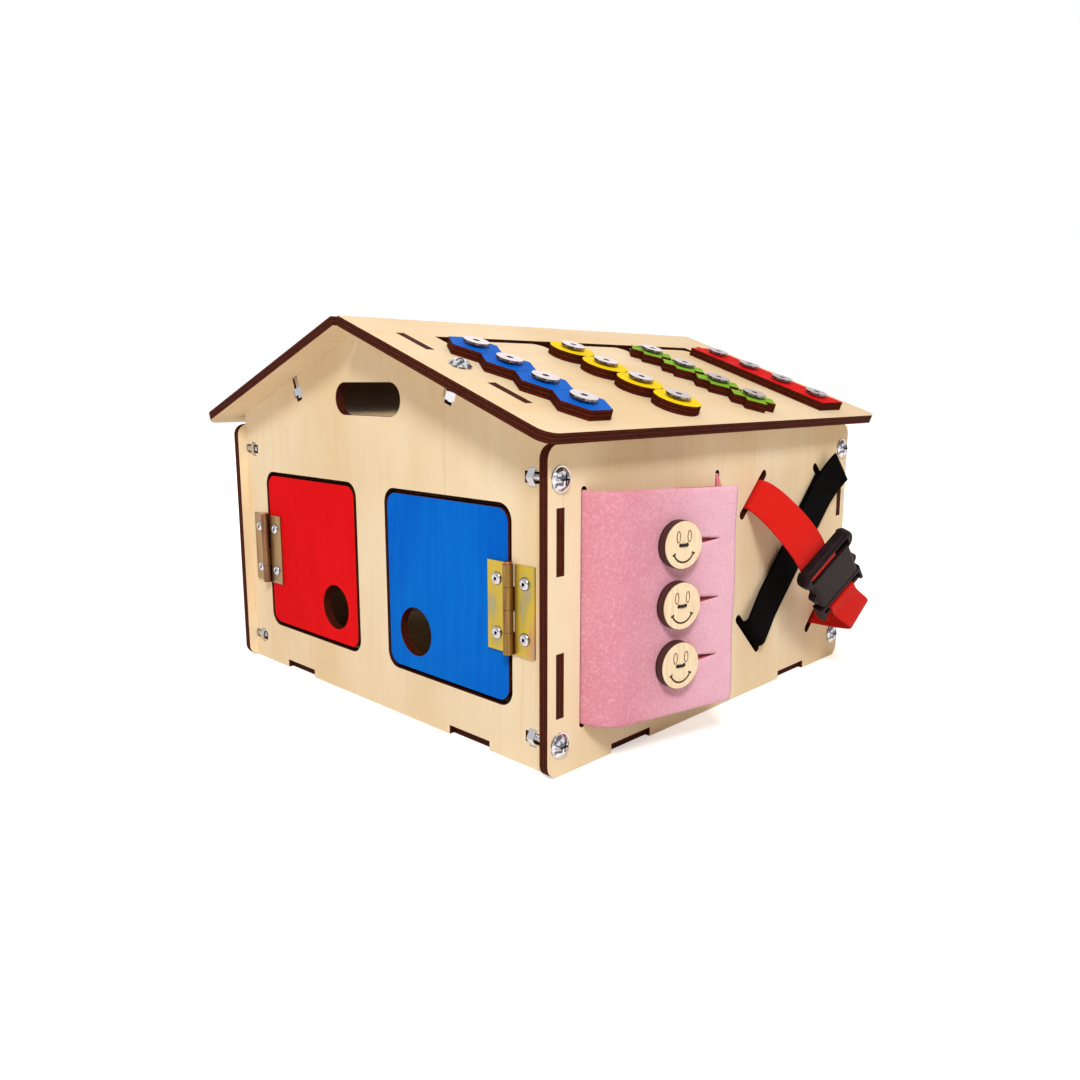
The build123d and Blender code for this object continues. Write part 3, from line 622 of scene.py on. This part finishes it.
# Felt flap and button strip on the right wall
felt = {
    "thickness": 3.0,
    "height": 130.0,
    "flapSlot": -136.5,
    "stripSlot": -11.3,
    "flapBend": 20.0,
    "stripBend": 12.0,
    "stripSettle": 40.0,
    "stripSettleEnd": -76.0,
    "stripHeight": 112.0,
    "lean": 12.5,
    "flapEnd": -47.0,
    "stripEnd": -106.0,
    "tail": 8.0,
    "tailBend": 2.4,
    "tailSeat": 0.3,
    "layerGap": 0.35,
    "sag": 1.6,
    "slitWide": 8.0,
    "slitStart": -92.0,
    "slitEnd": -59.0,
    "slitRise": 34.0,
    "spacing": 1.6,
    "columns": 44,
    "flapFold": (10.0, 12.0, 0.0),
    "stripFold": (12.0, -8.0, 0.0),
    "tipLength": 26.0,
    "ripple": 0.45,
    "slitTip": 0.05,
    "slitThrough": 6.0,
    "slitShade": ink(206, 92, 106),
    "lint": ink(248, 206, 216),
    "fibre": ink(200, 112, 138),
}


def fromRow(made, pitch):
    # height above the nearest of three rows that stand a pitch apart
    height = made.along((0, 0, 1)) / mm - house["halfHeight"]
    return (height + pitch * 1.5).cycle(pitch) - pitch / 2


def feltLook(name, near, far):
    # painted shade: colour runs from near, at the flap's slot, to far, at its free end; the slits
    # get a redder painted shade
    made = Finish(name)
    place = made.place()
    fibres = made.cloud(place, 1100.0, 4.0, 0.7)
    clumps = made.cloud(place, 620.0, 3.0, 0.6)
    soft = made.cloud(place, 60.0, 2.0)
    out = made.along((0, 1, 0)) / mm
    share = out.over(felt["flapSlot"], felt["flapEnd"]) + (soft - 0.5) * 0.5
    base = made.mix(share, near, far)
    base = made.mix(clumps.over(0.45, 0.7) * 0.3, base, felt["lint"])
    base = made.mix(fibres.over(0.48, 0.66) * 0.4, base, felt["fibre"])
    slit = 1 - made.facing(flapOut).size().over(0.3, 0.6)
    slit = slit * out.over(felt["slitStart"], felt["slitStart"] + 1)
    slit = slit * (1 - out.over(felt["slitEnd"], felt["slitEnd"] + 1))
    rise = fromRow(made, felt["slitRise"])
    base = made.mix(slit * (1 - rise.size().over(6, 7)), base, felt["slitShade"])
    height = fibres * 0.5 + clumps * 0.5
    return made.wear(color=base, roughness=1.0, sheen=0.08, sheenRoughness=0.5, gloss=0.1,
                     normal=made.bump(height, 0.0004))


lean = radians(felt["lean"])
centreHeight = Vector((0, 0, house["halfHeight"]))
tailX = house["innerHalf"] - felt["tailSeat"] - felt["thickness"] / 2
passage = house["halfWidth"] - tailX - felt["tailBend"]
flapOut = Vector((cos(lean), -sin(lean), 0))
flapLineX = house["halfWidth"] + felt["flapBend"] * cos(lean)
flapLineY = felt["flapSlot"] + felt["flapBend"] * (1 - sin(lean))
# painted shade: the flap is darker towards its slot, the strip towards its own slot
flapCloth = feltLook("pinkFelt", ink(215, 142, 160), ink(236, 188, 208))
stripCloth = feltLook("pinkFeltStrip", ink(224, 140, 156), ink(216, 122, 134))


def smooth(value, low, high):
    share = min(1.0, max(0.0, (value - low) / (high - low)))
    return share * share * (3 - 2 * share)


def feltFrames(start, heading, steps):
    path = planPath(start, radians(heading), steps, felt["spacing"])
    return liftPath(path, centreHeight, Vector((1, 0, 0)), Vector((0, 1, 0)))


def feltFlap():
    lineLength = (felt["flapEnd"] - flapLineY) / cos(lean)
    steps = [(felt["tail"], 0), bend(felt["tailBend"], -90), (passage, 0),
             bend(felt["flapBend"], 90 - felt["lean"]), (lineLength, 0)]
    frames = feltFrames((tailX, felt["flapSlot"] - felt["tailBend"] - felt["tail"]), 90, steps)
    total = pathLength(frames)

    def hang(travelled, side):
        free = smooth(travelled, total * 0.35, total)
        tip = smooth(travelled, total - felt["tipLength"], total)
        ripple = felt["ripple"] * tip * (1 + sin(side * 7.0 + 0.8))
        return ripple, -felt["sag"] * free * smooth(side, -0.2, 1.0)

    piece = stripPiece("feltFlap", frames, felt["height"], felt["thickness"], felt["columns"], hang)
    cutSlits(piece)
    asSheet(piece, "felt_flap", flapCloth, felt["height"], frames)
    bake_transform(piece)


def cutSlits(piece):
    # wedges, wide under the button's rim and closing to a point
    cutter = bmesh.new()
    wedge = ((felt["slitStart"], felt["slitWide"] / 2), (felt["slitEnd"], felt["slitTip"]))
    for step in (-1, 0, 1):
        ring = []
        level = house["halfHeight"] + step * felt["slitRise"]
        for y, half in wedge:
            for sign in (-1, 1):
                middle = Vector((flapLineX + (y - flapLineY) * tan(lean), y, level))
                ring.append(middle + Vector((0, 0, sign * half)))
        inside = [cutter.verts.new((spot - flapOut * felt["slitThrough"]) * mm) for spot in ring]
        outside = [cutter.verts.new((spot + flapOut * felt["slitThrough"]) * mm) for spot in ring]
        for a, b in ((0, 1), (1, 3), (3, 2), (2, 0)):
            cutter.faces.new((inside[a], inside[b], outside[b], outside[a]))
        cutter.faces.new([inside[n] for n in (0, 2, 3, 1)])
        cutter.faces.new([outside[n] for n in (0, 1, 3, 2)])
    subtract(piece, finishPiece("slitCutter", cutter, False))


def subtract(piece, cutter):
    cut = piece.modifiers.new("cut", "BOOLEAN")
    cut.operation, cut.solver, cut.object = "DIFFERENCE", "EXACT", cutter
    bpy.context.view_layer.update()
    shaped = piece.evaluated_get(bpy.context.evaluated_depsgraph_get())
    carved = bpy.data.meshes.new_from_object(shaped)
    piece.modifiers.clear()
    piece.data = carved
    bpy.data.objects.remove(cutter)


def buttonStrip():
    # out of the slot in a short bend, up to the flap's underside, and along it
    settleY = felt["stripSettleEnd"]
    depth = (felt["thickness"] + felt["layerGap"]) / cos(lean)
    settleX = flapLineX + (settleY - flapLineY) * tan(lean) - depth
    upX = settleX - felt["stripSettle"] * cos(lean) - house["halfWidth"]
    upY = felt["stripSlot"] - felt["stripBend"] - settleY - felt["stripSettle"] * sin(lean)
    spread = felt["stripSettle"] - felt["stripBend"]
    climb = degrees(atan2(upX, upY) + asin(spread / hypot(upX, upY)))
    rise = sqrt(hypot(upX, upY)**2 - spread**2)
    steps = [(felt["tail"], 0), bend(felt["tailBend"], 90), (passage, 0),
             bend(felt["stripBend"], climb - 90), (rise, 0),
             bend(felt["stripSettle"], -climb - felt["lean"]),
             ((settleY - felt["stripEnd"]) / cos(lean), 0)]
    frames = feltFrames((tailX, felt["stripSlot"] + felt["tailBend"] + felt["tail"]), -90, steps)
    mouth = felt["tail"] + felt["tailBend"] * pi / 2 + passage
    narrow = (felt["height"] - felt["stripHeight"]) / 2

    def shoulders(travelled, side):
        return 0.0, -side * narrow * smooth(travelled, mouth + 0.4, mouth + 2.4)

    piece = stripPiece("buttonStrip", frames, felt["height"], felt["thickness"], felt["columns"],
                       shoulders)
    asSheet(piece, "felt_button_strip", stripCloth, felt["height"], frames)
    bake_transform(piece)


feltFlap()
buttonStrip()
print("felt cut and hung")


# Wooden buttons with a burnt-in smiling face, sewn on with black thread
button = {
    "radius": 13.4,
    "thickness": 6.0,
    "place": -91.0,
    "rise": 34.0,
    "gap": 0.4,
    "bevel": 0.35,
    "holeRadius": 1.15,
    "holeShift": 2.4,
    "eyeLine": 0.34,
    "smileLine": 0.58,
    "eyeShift": 3.9,
    "eyeRise": 4.6,
    "eyeWide": 1.25,
    "eyeHigh": 3.1,
    "smileRadius": 7.4,
    "smileDrop": 2.1,
    "smileHalfAngle": 68.0,
    "tick": 2.2,
    "threadRadius": 0.42,
    "knotRadius": 0.85,
    "around": 72,
    "eyePoints": 28,
    "smilePoints": 24,
    "boreDepths": (-2, 8),
    "plugDepths": (3.0, 0.1),
    "plugPlay": 0.1,
    "tickSlope": 0.45,
    "strandHalf": 7,
    "strandReach": 0.94,
    "strandArch": 0.24,
    "strandRise": 0.5,
    "strandDepth": 3.0,
    "knotReach": 0.7,
    "knotRise": 0.45,
}
buttonPlaceX = flapLineX + (button["place"] - flapLineY) * tan(lean)
buttonSpot = Vector((buttonPlaceX, button["place"], house["halfHeight"]))
buttonSpot += flapOut * (felt["thickness"] / 2 + button["gap"])
buttonRight = Vector((sin(lean), cos(lean), 0))
buttonTop = buttonSpot.dot(flapOut) + button["thickness"]


def onButton(step, x, y, depth=0.0):
    # a point on a button's face: x to the right, y up, depth below the face
    middle = buttonSpot + Vector((0, 0, step * button["rise"]))
    return middle + flapOut * (button["thickness"] - depth) + buttonRight * x + Vector((0, 0, y))


def tube(body, points, radius, around, closed=False):
    # a round tube through points, with end caps unless it closes
    rings = []
    count = len(points)
    for number, point in enumerate(points):
        before = points[number - 1] if number or closed else point
        after = points[(number + 1) % count] if number + 1 < count or closed else point
        heading = (after - before).normalized()
        if rings:
            side = (lastSide - heading * lastSide.dot(heading)).normalized()
        else:
            side = heading.orthogonal().normalized()
        lastSide = side
        up = heading.cross(side)
        ring = []
        for step in range(around):
            angle = 2 * pi * step / around
            spoke = (side * cos(angle) + up * sin(angle)) * radius
            ring.append(body.verts.new((point + spoke) * mm))
        rings.append(ring)
    pairs = list(zip(rings, rings[1:])) + ([(rings[-1], rings[0])] if closed else [])
    for low, high in pairs:
        offset = 0
        if closed and high is rings[0]:
            offset = min(range(around), key=lambda turn: (low[0].co - high[turn].co).length)
        sleeve(body, low, high, offset)
    if not closed:
        body.faces.new(list(reversed(rings[0])))
        body.faces.new(rings[-1])


def buttonBlank(body, step):
    # a bevelled disc with two thread holes bored right through
    around, bevel, thickness = button["around"], button["bevel"], button["thickness"]
    inner, outer = button["radius"] - bevel, button["radius"]
    profile = ((inner, 0), (outer, bevel), (outer, thickness - bevel), (inner, thickness))
    outline = []
    for radius, depth in profile:
        ring = []
        for turn in range(around):
            angle = 2 * pi * turn / around
            spot = onButton(step, radius * cos(angle), radius * sin(angle), depth)
            ring.append(body.verts.new(spot * mm))
        outline.append(ring)
    for low, high in zip(outline, outline[1:]):
        sleeve(body, low, high)
    body.faces.new(outline[0])
    body.faces.new(outline[-1])


def faceLines(step):
    # the engraved lines: two oval eyes and a smile
    lines = []
    for sign in (-1, 1):
        eye = []
        for turn in range(button["eyePoints"]):
            angle = 2 * pi * turn / button["eyePoints"]
            x = sign * button["eyeShift"] + button["eyeWide"] * cos(angle)
            y = button["eyeRise"] + button["eyeHigh"] * sin(angle)
            eye.append(onButton(step, x, y))
        lines.append((eye, button["eyeLine"], True))
    half = radians(button["smileHalfAngle"])
    smile = []
    for turn in range(button["smilePoints"] + 1):
        angle = -pi / 2 - half + 2 * half * turn / button["smilePoints"]
        x = button["smileRadius"] * cos(angle)
        y = -button["smileDrop"] + button["smileRadius"] * sin(angle)
        smile.append(onButton(step, x, y))
    lines.append((smile, button["smileLine"], False))
    return lines


def smileTicks(step):
    half = radians(button["smileHalfAngle"])
    reach = button["tick"] / 2
    ticks = []
    for sign in (-1, 1):
        angle = -pi / 2 + sign * half
        x = button["smileRadius"] * cos(angle)
        y = -button["smileDrop"] + button["smileRadius"] * sin(angle)
        tick = [onButton(step, x - sign * reach * share, y + button["tickSlope"] * reach * share)
                for share in (-1, -0.33, 0.33, 1)]
        ticks.append(tick)
    return ticks


def buttonWood():
    look = plywoodLook
    made = Finish("buttonWood")
    out = made.along(flapOut) / mm - buttonTop
    cross = made.along(buttonRight) / mm
    grain = made.along((0, 0, 1)) / mm
    bands = made.cloud(made.point(cross * 0.5, grain * 0.05, 3.0), 1.0, 4.0)
    pores = made.cloud(made.point(cross * 3.0, grain * 0.15, 7.0), 1.0, 3.0)
    face = made.mix(bands.over(0.35, 0.7), look["pale"], look["tan"])
    face = made.mix(pores.over(0.5, 0.7) * 0.25, face, look["streak"])
    cut = made.facing(flapOut).size().over(0.6, 0.8)
    groove = out.over(-0.3, -0.03)
    layers = made.ramp(
        out / button["thickness"] + 1.0,
        (0.0, look["burntDark"]),
        (0.3, look["burntDark"]),
        (0.4, look["burntRed"]),
        (0.48, look["burntRed"]),
        (0.56, look["burntDark"]),
        (0.68, look["burntRed"]),
        (0.8, look["burntDark"]),
    )
    eyes = fromRow(made, button["rise"]).over(0.6, 1.4)
    line = made.mix(eyes, ink(82, 40, 18), ink(150, 98, 46))
    burnt = made.mix(cut, layers, line)
    back = 1 - made.facing(-flapOut).over(0.6, 0.8)
    return made.wear(
        color=made.mix(groove * cut * back, burnt, face),
        roughness=0.6 - cut * 0.1,
        normal=made.bump(pores, 0.0001),
    )


def buttons():
    blank, lines, ticks = bmesh.new(), bmesh.new(), bmesh.new()
    for step in (-1, 0, 1):
        buttonBlank(blank, step)
        for sign in (-1, 1):
            x = sign * button["holeShift"]
            bore = [onButton(step, x, 0, depth) for depth in button["boreDepths"]]
            tube(lines, bore, button["holeRadius"], 16)
        for points, radius, closed in faceLines(step):
            tube(lines, points, radius, 8, closed)
        for points in smileTicks(step):
            tube(ticks, points, button["smileLine"], 8)
    piece = finishPiece("woodenButtons", blank, False)
    subtract(piece, finishPiece("faceCutter", lines, False))
    subtract(piece, finishPiece("tickCutter", ticks, False))
    piece.data.materials.clear()
    piece.data.materials.append(buttonWood())
    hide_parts("wooden_buttons")
    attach(piece, "button_strip")


def threadLook():
    made = Finish("blackThread")
    twist = (made.along((1, 2, 3)) * 4200.0).sine()
    return made.wear(color=ink(14, 12, 13), roughness=0.7, normal=made.bump(twist, 0.0001))


def threads():
    # two strands from hole to hole, filling the holes, with a knot between them
    body = bmesh.new()
    reach, radius = button["holeShift"], button["threadRadius"]
    for step in (-1, 0, 1):
        for lift in (-radius, radius):
            points = []
            for number in range(2 * button["strandHalf"] + 1):
                share = number / button["strandHalf"] - 1
                depth = button["strandArch"] * share * share - button["strandRise"]
                points.append(onButton(step, share * reach * button["strandReach"], lift, depth))
            ends = [onButton(step, sign * reach, lift, button["strandDepth"]) for sign in (-1, 1)]
            tube(body, [ends[0]] + points + [ends[1]], radius, 8)
        knot = [onButton(step, way * button["knotReach"], 0, -button["knotRise"])
                for way in (-1, 0, 1)]
        tube(body, knot, button["knotRadius"], 12)
        for sign in (-1, 1):
            plug = [onButton(step, sign * reach, 0, depth) for depth in button["plugDepths"]]
            tube(body, plug, button["holeRadius"] - button["plugPlay"], 16)
    piece = finishPiece("buttonThread", body)
    piece.data.materials.append(threadLook())
    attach(piece, "button_strip")


buttons()
threads()
print("buttons sewn on")


# Crossed straps
strap = {
    "centre": 79.7,
    "reach": 67.5,
    "webbing": 1.6,
    "webbingWidth": 25.0,
    "tape": 1.8,
    "tapeWidth": 30.0,
    "tail": 10.0,
    "tailSeat": 0.3,
    "gap": 0.3,
    "bend": 3.6,
    "loopReach": 38.0,
    "hookStand": 0.8,
    "hookBend": 4.4,
    "hookDip": 5.0,
    "hookSettle": 60.0,
    "hookCurl": 12.0,
    "hookOverrun": 17.0,
    "hookRise": 5.0,
    "webbingRise": 11.0,
    "webbingRun": 20.0,
    "archPull": 19.0,
    "archFall": 57.0,
    "webbingSide": 5.6,
    "buckleAhead": 2.6,
    "buckleDrop": 8.6,
    "buckleOffset": 36.6,
    "buckleYaw": 7.0,
    "bucklePitch": 9.0,
    "buckleRoll": 19.0,
    "spacing": 1.2,
    "columns": 12,
    "peelStart": 90.0,
    "peelEnd": 104.0,
    "stations": 60,
    "ribPitch": 1.25,
    "tickPitch": 1.1,
    "tapePitch": 1.0,
}
threading = {
    "back": 31.5,
    "endBar": 3.6,
    "middleBar": 2.6,
    "under": -3.85,
    "over": 3.0,
    "clearance": 1.1,
    "bend": 1.5,
    "lead": 4.0,
    "drop": 2.0,
    "maleAhead": 33.5,
    "wrap": 2.8,
    "maleTail": 1.5,
    "spacing": 0.5,
}
outward = Vector((1, 0, 0))
across = Vector((0, 1, 1)).normalized()


def strapAxes(along, rise):
    # origin at a slot's middle; x runs to the crossing, y out of the wall
    reach = strap["reach"] / sqrt(2)
    y, z = strap["centre"] + along * reach, house["halfHeight"] + rise * reach
    origin = Vector((house["halfWidth"], y, z))
    return origin, Vector((0, -along, -rise)).normalized(), outward


def tailSteps(thickness, end):
    # inside the wall: the glued end, the bend into the slot and the way out to height end
    inner = -house["ply"] - strap["tailSeat"] - thickness / 2
    start = (strap["bend"] + strap["tail"], inner)
    return start, [(strap["tail"], 0), bend(strap["bend"], -90), (end - inner - strap["bend"], 0)]


def webbingLook():
    # tight ribs across, each a row of small ticks
    made = Finish("redWebbing")
    cloth = made.node("UVMap", {"uv_map": "cloth"})
    width = made.along((1, 0, 0), cloth)
    length = made.along((0, 1, 0), cloth)
    ribs = (width * (2 * pi / strap["ribPitch"])).sine()
    ticks = ((length + width * 0.5) * (2 * pi / strap["tickPitch"])).sine()
    weave = ribs * 0.6 + ticks * 0.4
    fuzz = made.cloud(made.place(), 1500.0, 2.0)
    # painted shade: the rib grooves are coloured darker and the crests lighter, following the weave
    # that also drives the bump
    shade = made.mix(weave.over(-0.8, 0.6), ink(190, 8, 6), ink(234, 28, 18))
    shade = made.mix(fuzz.over(0.4, 0.7) * 0.3, shade, ink(240, 52, 36))
    return made.wear(color=shade, roughness=0.62, sheen=0.03, gloss=0.15,
                     normal=made.bump(weave + fuzz * 0.5, 0.00022))


def tapeLook():
    made = Finish("blackTape")
    loops = made.cloud(made.place(), 1300.0, 4.0, 0.7)
    cloth = made.node("UVMap", {"uv_map": "cloth"})
    ribs = (made.along((1, 0, 0), cloth) * (2 * pi / strap["tapePitch"])).sine()
    return made.wear(
        color=made.mix(loops.over(0.4, 0.7), ink(1, 0, 0), ink(11, 6, 7)),
        roughness=1.0,
        gloss=0.06,
        normal=made.bump(loops + ribs * 0.15, 0.0003),
    )


# width, thickness, look and slot of the two stocks that straps are cut from
stocks = {
    "webbing": (strap["webbingWidth"], strap["webbing"], webbingLook(), "red_webbing"),
    "tape": (strap["tapeWidth"], strap["tape"], tapeLook(), "hook_and_loop"),
}


def strapPiece(name, node, stock, frames):
    width, thickness, look, slotName = stocks[stock]
    piece = stripPiece(name, frames, width, thickness, strap["columns"])
    return asSheet(piece, node, look, width, frames)


def loopStrap():
    origin, xAxis, yAxis = strapAxes(1, 1)
    level = strap["gap"] + strap["tape"] / 2
    start, steps = tailSteps(strap["tape"], level - strap["bend"])
    steps += [bend(strap["bend"], -90), (strap["loopReach"] - strap["bend"], 0)]
    frames = liftPath(planPath(start, pi, steps, strap["spacing"]), origin, xAxis, yAxis)
    piece = strapPiece("loopStrap", "loop_strap", "tape", frames)
    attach(piece, "house")


def hookStrap():
    origin, xAxis, yAxis = strapAxes(-1, -1)
    dip = radians(strap["hookDip"])
    level = 2 * strap["gap"] + 1.5 * strap["tape"]
    start, steps = tailSteps(strap["tape"], strap["hookStand"])
    crest = strap["hookStand"] + strap["hookBend"] * cos(dip)
    settle = level + strap["hookSettle"] * (1 - cos(dip))
    fall = (crest - settle) / sin(dip)
    flatStart = strap["hookBend"] * (1 + sin(dip)) + (crest - settle) / tan(dip)
    flatStart += strap["hookSettle"] * sin(dip)
    curlStart = 2 * strap["reach"] - strap["hookCurl"]
    run = strap["hookCurl"] + strap["hookOverrun"]
    radius = (run**2 + strap["hookRise"]**2) / (2 * strap["hookRise"])
    steps += [bend(strap["hookBend"], -90 - strap["hookDip"]), (fall, 0),
              bend(strap["hookSettle"], strap["hookDip"]), (curlStart - flatStart, 0),
              bend(radius, degrees(2 * atan(strap["hookRise"] / run)))]
    frames = liftPath(planPath(start, pi, steps, strap["spacing"]), origin, xAxis, yAxis)
    piece = strapPiece("hookStrap", "hook_strap", "tape", frames)
    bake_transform(piece)


# the buckle hangs off the wall, turned, tipped and rolled as the webbing holds it
yaw, tip, roll = (radians(strap["buckle" + turn]) for turn in ("Yaw", "Pitch", "Roll"))
redOrigin, downRight, _ = strapAxes(-1, 1)
buckleOrigin = redOrigin + downRight * (strap["reach"] + strap["buckleAhead"])
buckleOrigin += outward * strap["buckleOffset"] - across * strap["buckleDrop"]
turnedAhead = downRight * cos(yaw) + across * sin(yaw)
levelSide = across * cos(yaw) - downRight * sin(yaw)
levelUp = outward * cos(tip) + turnedAhead * sin(tip)
buckleAhead = turnedAhead * cos(tip) - outward * sin(tip)
buckleUp = levelUp * cos(roll) - levelSide * sin(roll)
buckleSide = levelSide * cos(roll) + levelUp * sin(roll)


def ribbonFrames(start, firstPull, lastPull, end, firstWide, lastWide):
    # a smooth curve whose width turns evenly from one direction to the other
    frames = []
    for station in range(strap["stations"] + 1):
        share = station / strap["stations"]
        rest = 1 - share
        spot = start * rest**3 + firstPull * (3 * rest**2 * share)
        spot = spot + lastPull * (3 * rest * share**2) + end * share**3
        heading = (firstPull - start) * rest**2 + (lastPull - firstPull) * (2 * rest * share)
        heading = (heading + (end - lastPull) * share**2).normalized()
        twist = share**2 * (3 - 2 * share)
        wide = firstWide * (1 - twist) + lastWide * twist
        wide = (wide - heading * wide.dot(heading)).normalized()
        frames.append((spot, -wide, heading))
    return frames


def onBuckle(x, z, side=0.0):
    return buckleOrigin + buckleAhead * x + buckleUp * z - buckleSide * side


def redWebbingUpper():
    start, steps = tailSteps(strap["webbing"], 0)
    frames = liftPath(planPath(start, pi, steps, strap["spacing"]), *strapAxes(-1, 1))
    leadIn = -threading["back"] - threading["lead"]
    buckleEnd = onBuckle(leadIn, threading["under"], strap["webbingSide"])
    frames += ribbonFrames(redOrigin, redOrigin + outward * strap["webbingRise"],
                           buckleEnd - buckleAhead * strap["webbingRun"], buckleEnd,
                           across, buckleSide)[1:]
    turn = threading["bend"]
    riser = -threading["back"] + threading["endBar"] + threading["clearance"]
    steps = [(riser - turn - leadIn, 0), bend(turn, 90),
             (threading["over"] - threading["under"] - 2 * turn, 0), bend(turn, -90),
             (threading["middleBar"] - 2 * (turn - threading["clearance"]), 0), bend(turn, -90),
             (threading["drop"], 0)]
    path = planPath((leadIn, threading["under"]), 0.0, steps, threading["spacing"])
    frames += liftPath(path, onBuckle(0, 0, strap["webbingSide"]), buckleAhead, buckleUp)[1:]
    piece = strapPiece("redWebbingUpper", "red_webbing_upper", "webbing", frames)
    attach(piece, "house")


def redWebbingLower():
    turn, wrap = threading["bend"], threading["wrap"]
    barSide = threading["maleAhead"] - threading["endBar"] - threading["clearance"]
    first = threading["maleAhead"] + threading["maleTail"]
    steps = [(first - barSide - turn, 0), bend(turn, -90), (2 * (wrap - turn), 0), bend(turn, -90),
             (threading["maleAhead"] - barSide - turn, 0)]
    path = planPath((first, -wrap), pi, steps, threading["spacing"])
    frames = liftPath(path, buckleOrigin, buckleAhead, buckleUp)
    maleEnd = onBuckle(threading["maleAhead"], wrap)
    lowOrigin, lowX, lowY = strapAxes(1, -1)
    frames += ribbonFrames(maleEnd, maleEnd + buckleAhead * strap["archPull"],
                           lowOrigin + outward * strap["archFall"], lowOrigin,
                           buckleSide, across)[1:]
    start, steps = tailSteps(strap["webbing"], 0)
    inside = liftPath(planPath(start, pi, steps, strap["spacing"]), lowOrigin, lowX, lowY)
    frames += [(point, wide, -heading) for point, wide, heading in reversed(inside)][1:]
    piece = strapPiece("redWebbingLower", "red_webbing_lower", "webbing", frames)
    onBuckle(threading["maleAhead"], 0) * mm
    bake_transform(piece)


loopStrap()
hookStrap()
redWebbingUpper()
redWebbingLower()
print("straps threaded")


# Studio: a white floor that keeps a soft shadow, a bright room and a large soft lamp
studio = {
    "floorSize": 8.0,
    "floorDrop": 0.0002,
    "aim": (0, 0, 0.1),
    "floorColour": (0.85, 0.88, 0.91, 1.0),
    "floorGlow": (0.56, 0.53, 0.51, 1.0),
    "farGlow": (0.85, 0.85, 0.85, 1.0),
    "glowStart": 0.3,
    "glowEnd": 0.8,
    "roomColour": (0.495, 0.4, 0.315, 1.0),
    "keyPlace": (1.15, -1.15, 1.5),
    "keySize": 0.5,
    "keyPower": 28.5,
    "fillPlace": (-1.5, 1.2, 1.3),
    "fillSize": 2.0,
    "fillPower": 12.0,
}
dark, white = (0, 0, 0, 1), (1, 1, 1, 1)


def floor():
    body = bmesh.new()
    half = studio["floorSize"] / 2
    corners = ((-1, -1), (1, -1), (1, 1), (-1, 1))
    body.faces.new([body.verts.new((x * half, y * half, -studio["floorDrop"])) for x, y in corners])
    piece = finishPiece("floor", body, False)
    made = Finish("studioFloor")
    away = made.node("VectorMath", {"operation": "LENGTH"}, {0: made.place()}, 1)
    far = away.over(studio["glowStart"], studio["glowEnd"])
    glow = made.mix(far, studio["floorGlow"], studio["farGlow"])
    look = made.wear(color=studio["floorColour"], roughness=1.0, gloss=0.0,
                     glow=made.mix(made.seen(), dark, glow), glowStrength=1.0)
    piece.data.materials.append(look)


def room():
    made = Finish("room", world=True)
    made.plug(made.mix(made.seen(), studio["roomColour"], white), made.shader.inputs["Color"])
    bpy.context.scene.world = made.material


def lamp(name, place, size, power):
    light = bpy.data.lights.new(name, "AREA")
    light.shape, light.size, light.energy = "DISK", size, power
    holder = addObject(name, light)
    holder.location = place
    aim = Vector(studio["aim"]) - Vector(place)
    holder.rotation_euler = aim.to_track_quat("-Z", "Y").to_euler()


# The camera, set from the photograph's perspective
view = {
    "place": (478.72, -488.68, 210.52),
    "right": (0.71312, 0.70104, -0.00029),
    "down": (0.12055, -0.12304, -0.98505),
    "focalPixels": 897.53,
    "imagePixels": 1080,
    "sensor": 36.0,
    "clip": (0.01, 20.0),
}


def camera():
    data = bpy.data.cameras.new("camera")
    data.sensor_width = view["sensor"]
    data.lens = view["focalPixels"] / view["imagePixels"] * view["sensor"]
    data.clip_start, data.clip_end = view["clip"]
    holder = addObject("camera", data)
    right, up = Vector(view["right"]).normalized(), -Vector(view["down"]).normalized()
    back = right.cross(up)
    turn = Matrix((right, up, back)).transposed().to_4x4()
    holder.matrix_world = Matrix.Translation(Vector(view["place"]) * mm) @ turn
    bpy.context.scene.camera = holder


floor()
room()
lamp("key", studio["keyPlace"], studio["keySize"], studio["keyPower"])
lamp("fill", studio["fillPlace"], studio["fillSize"], studio["fillPower"])
camera()
bpy.context.scene.view_settings.view_transform = "Standard"
print("studio lit")
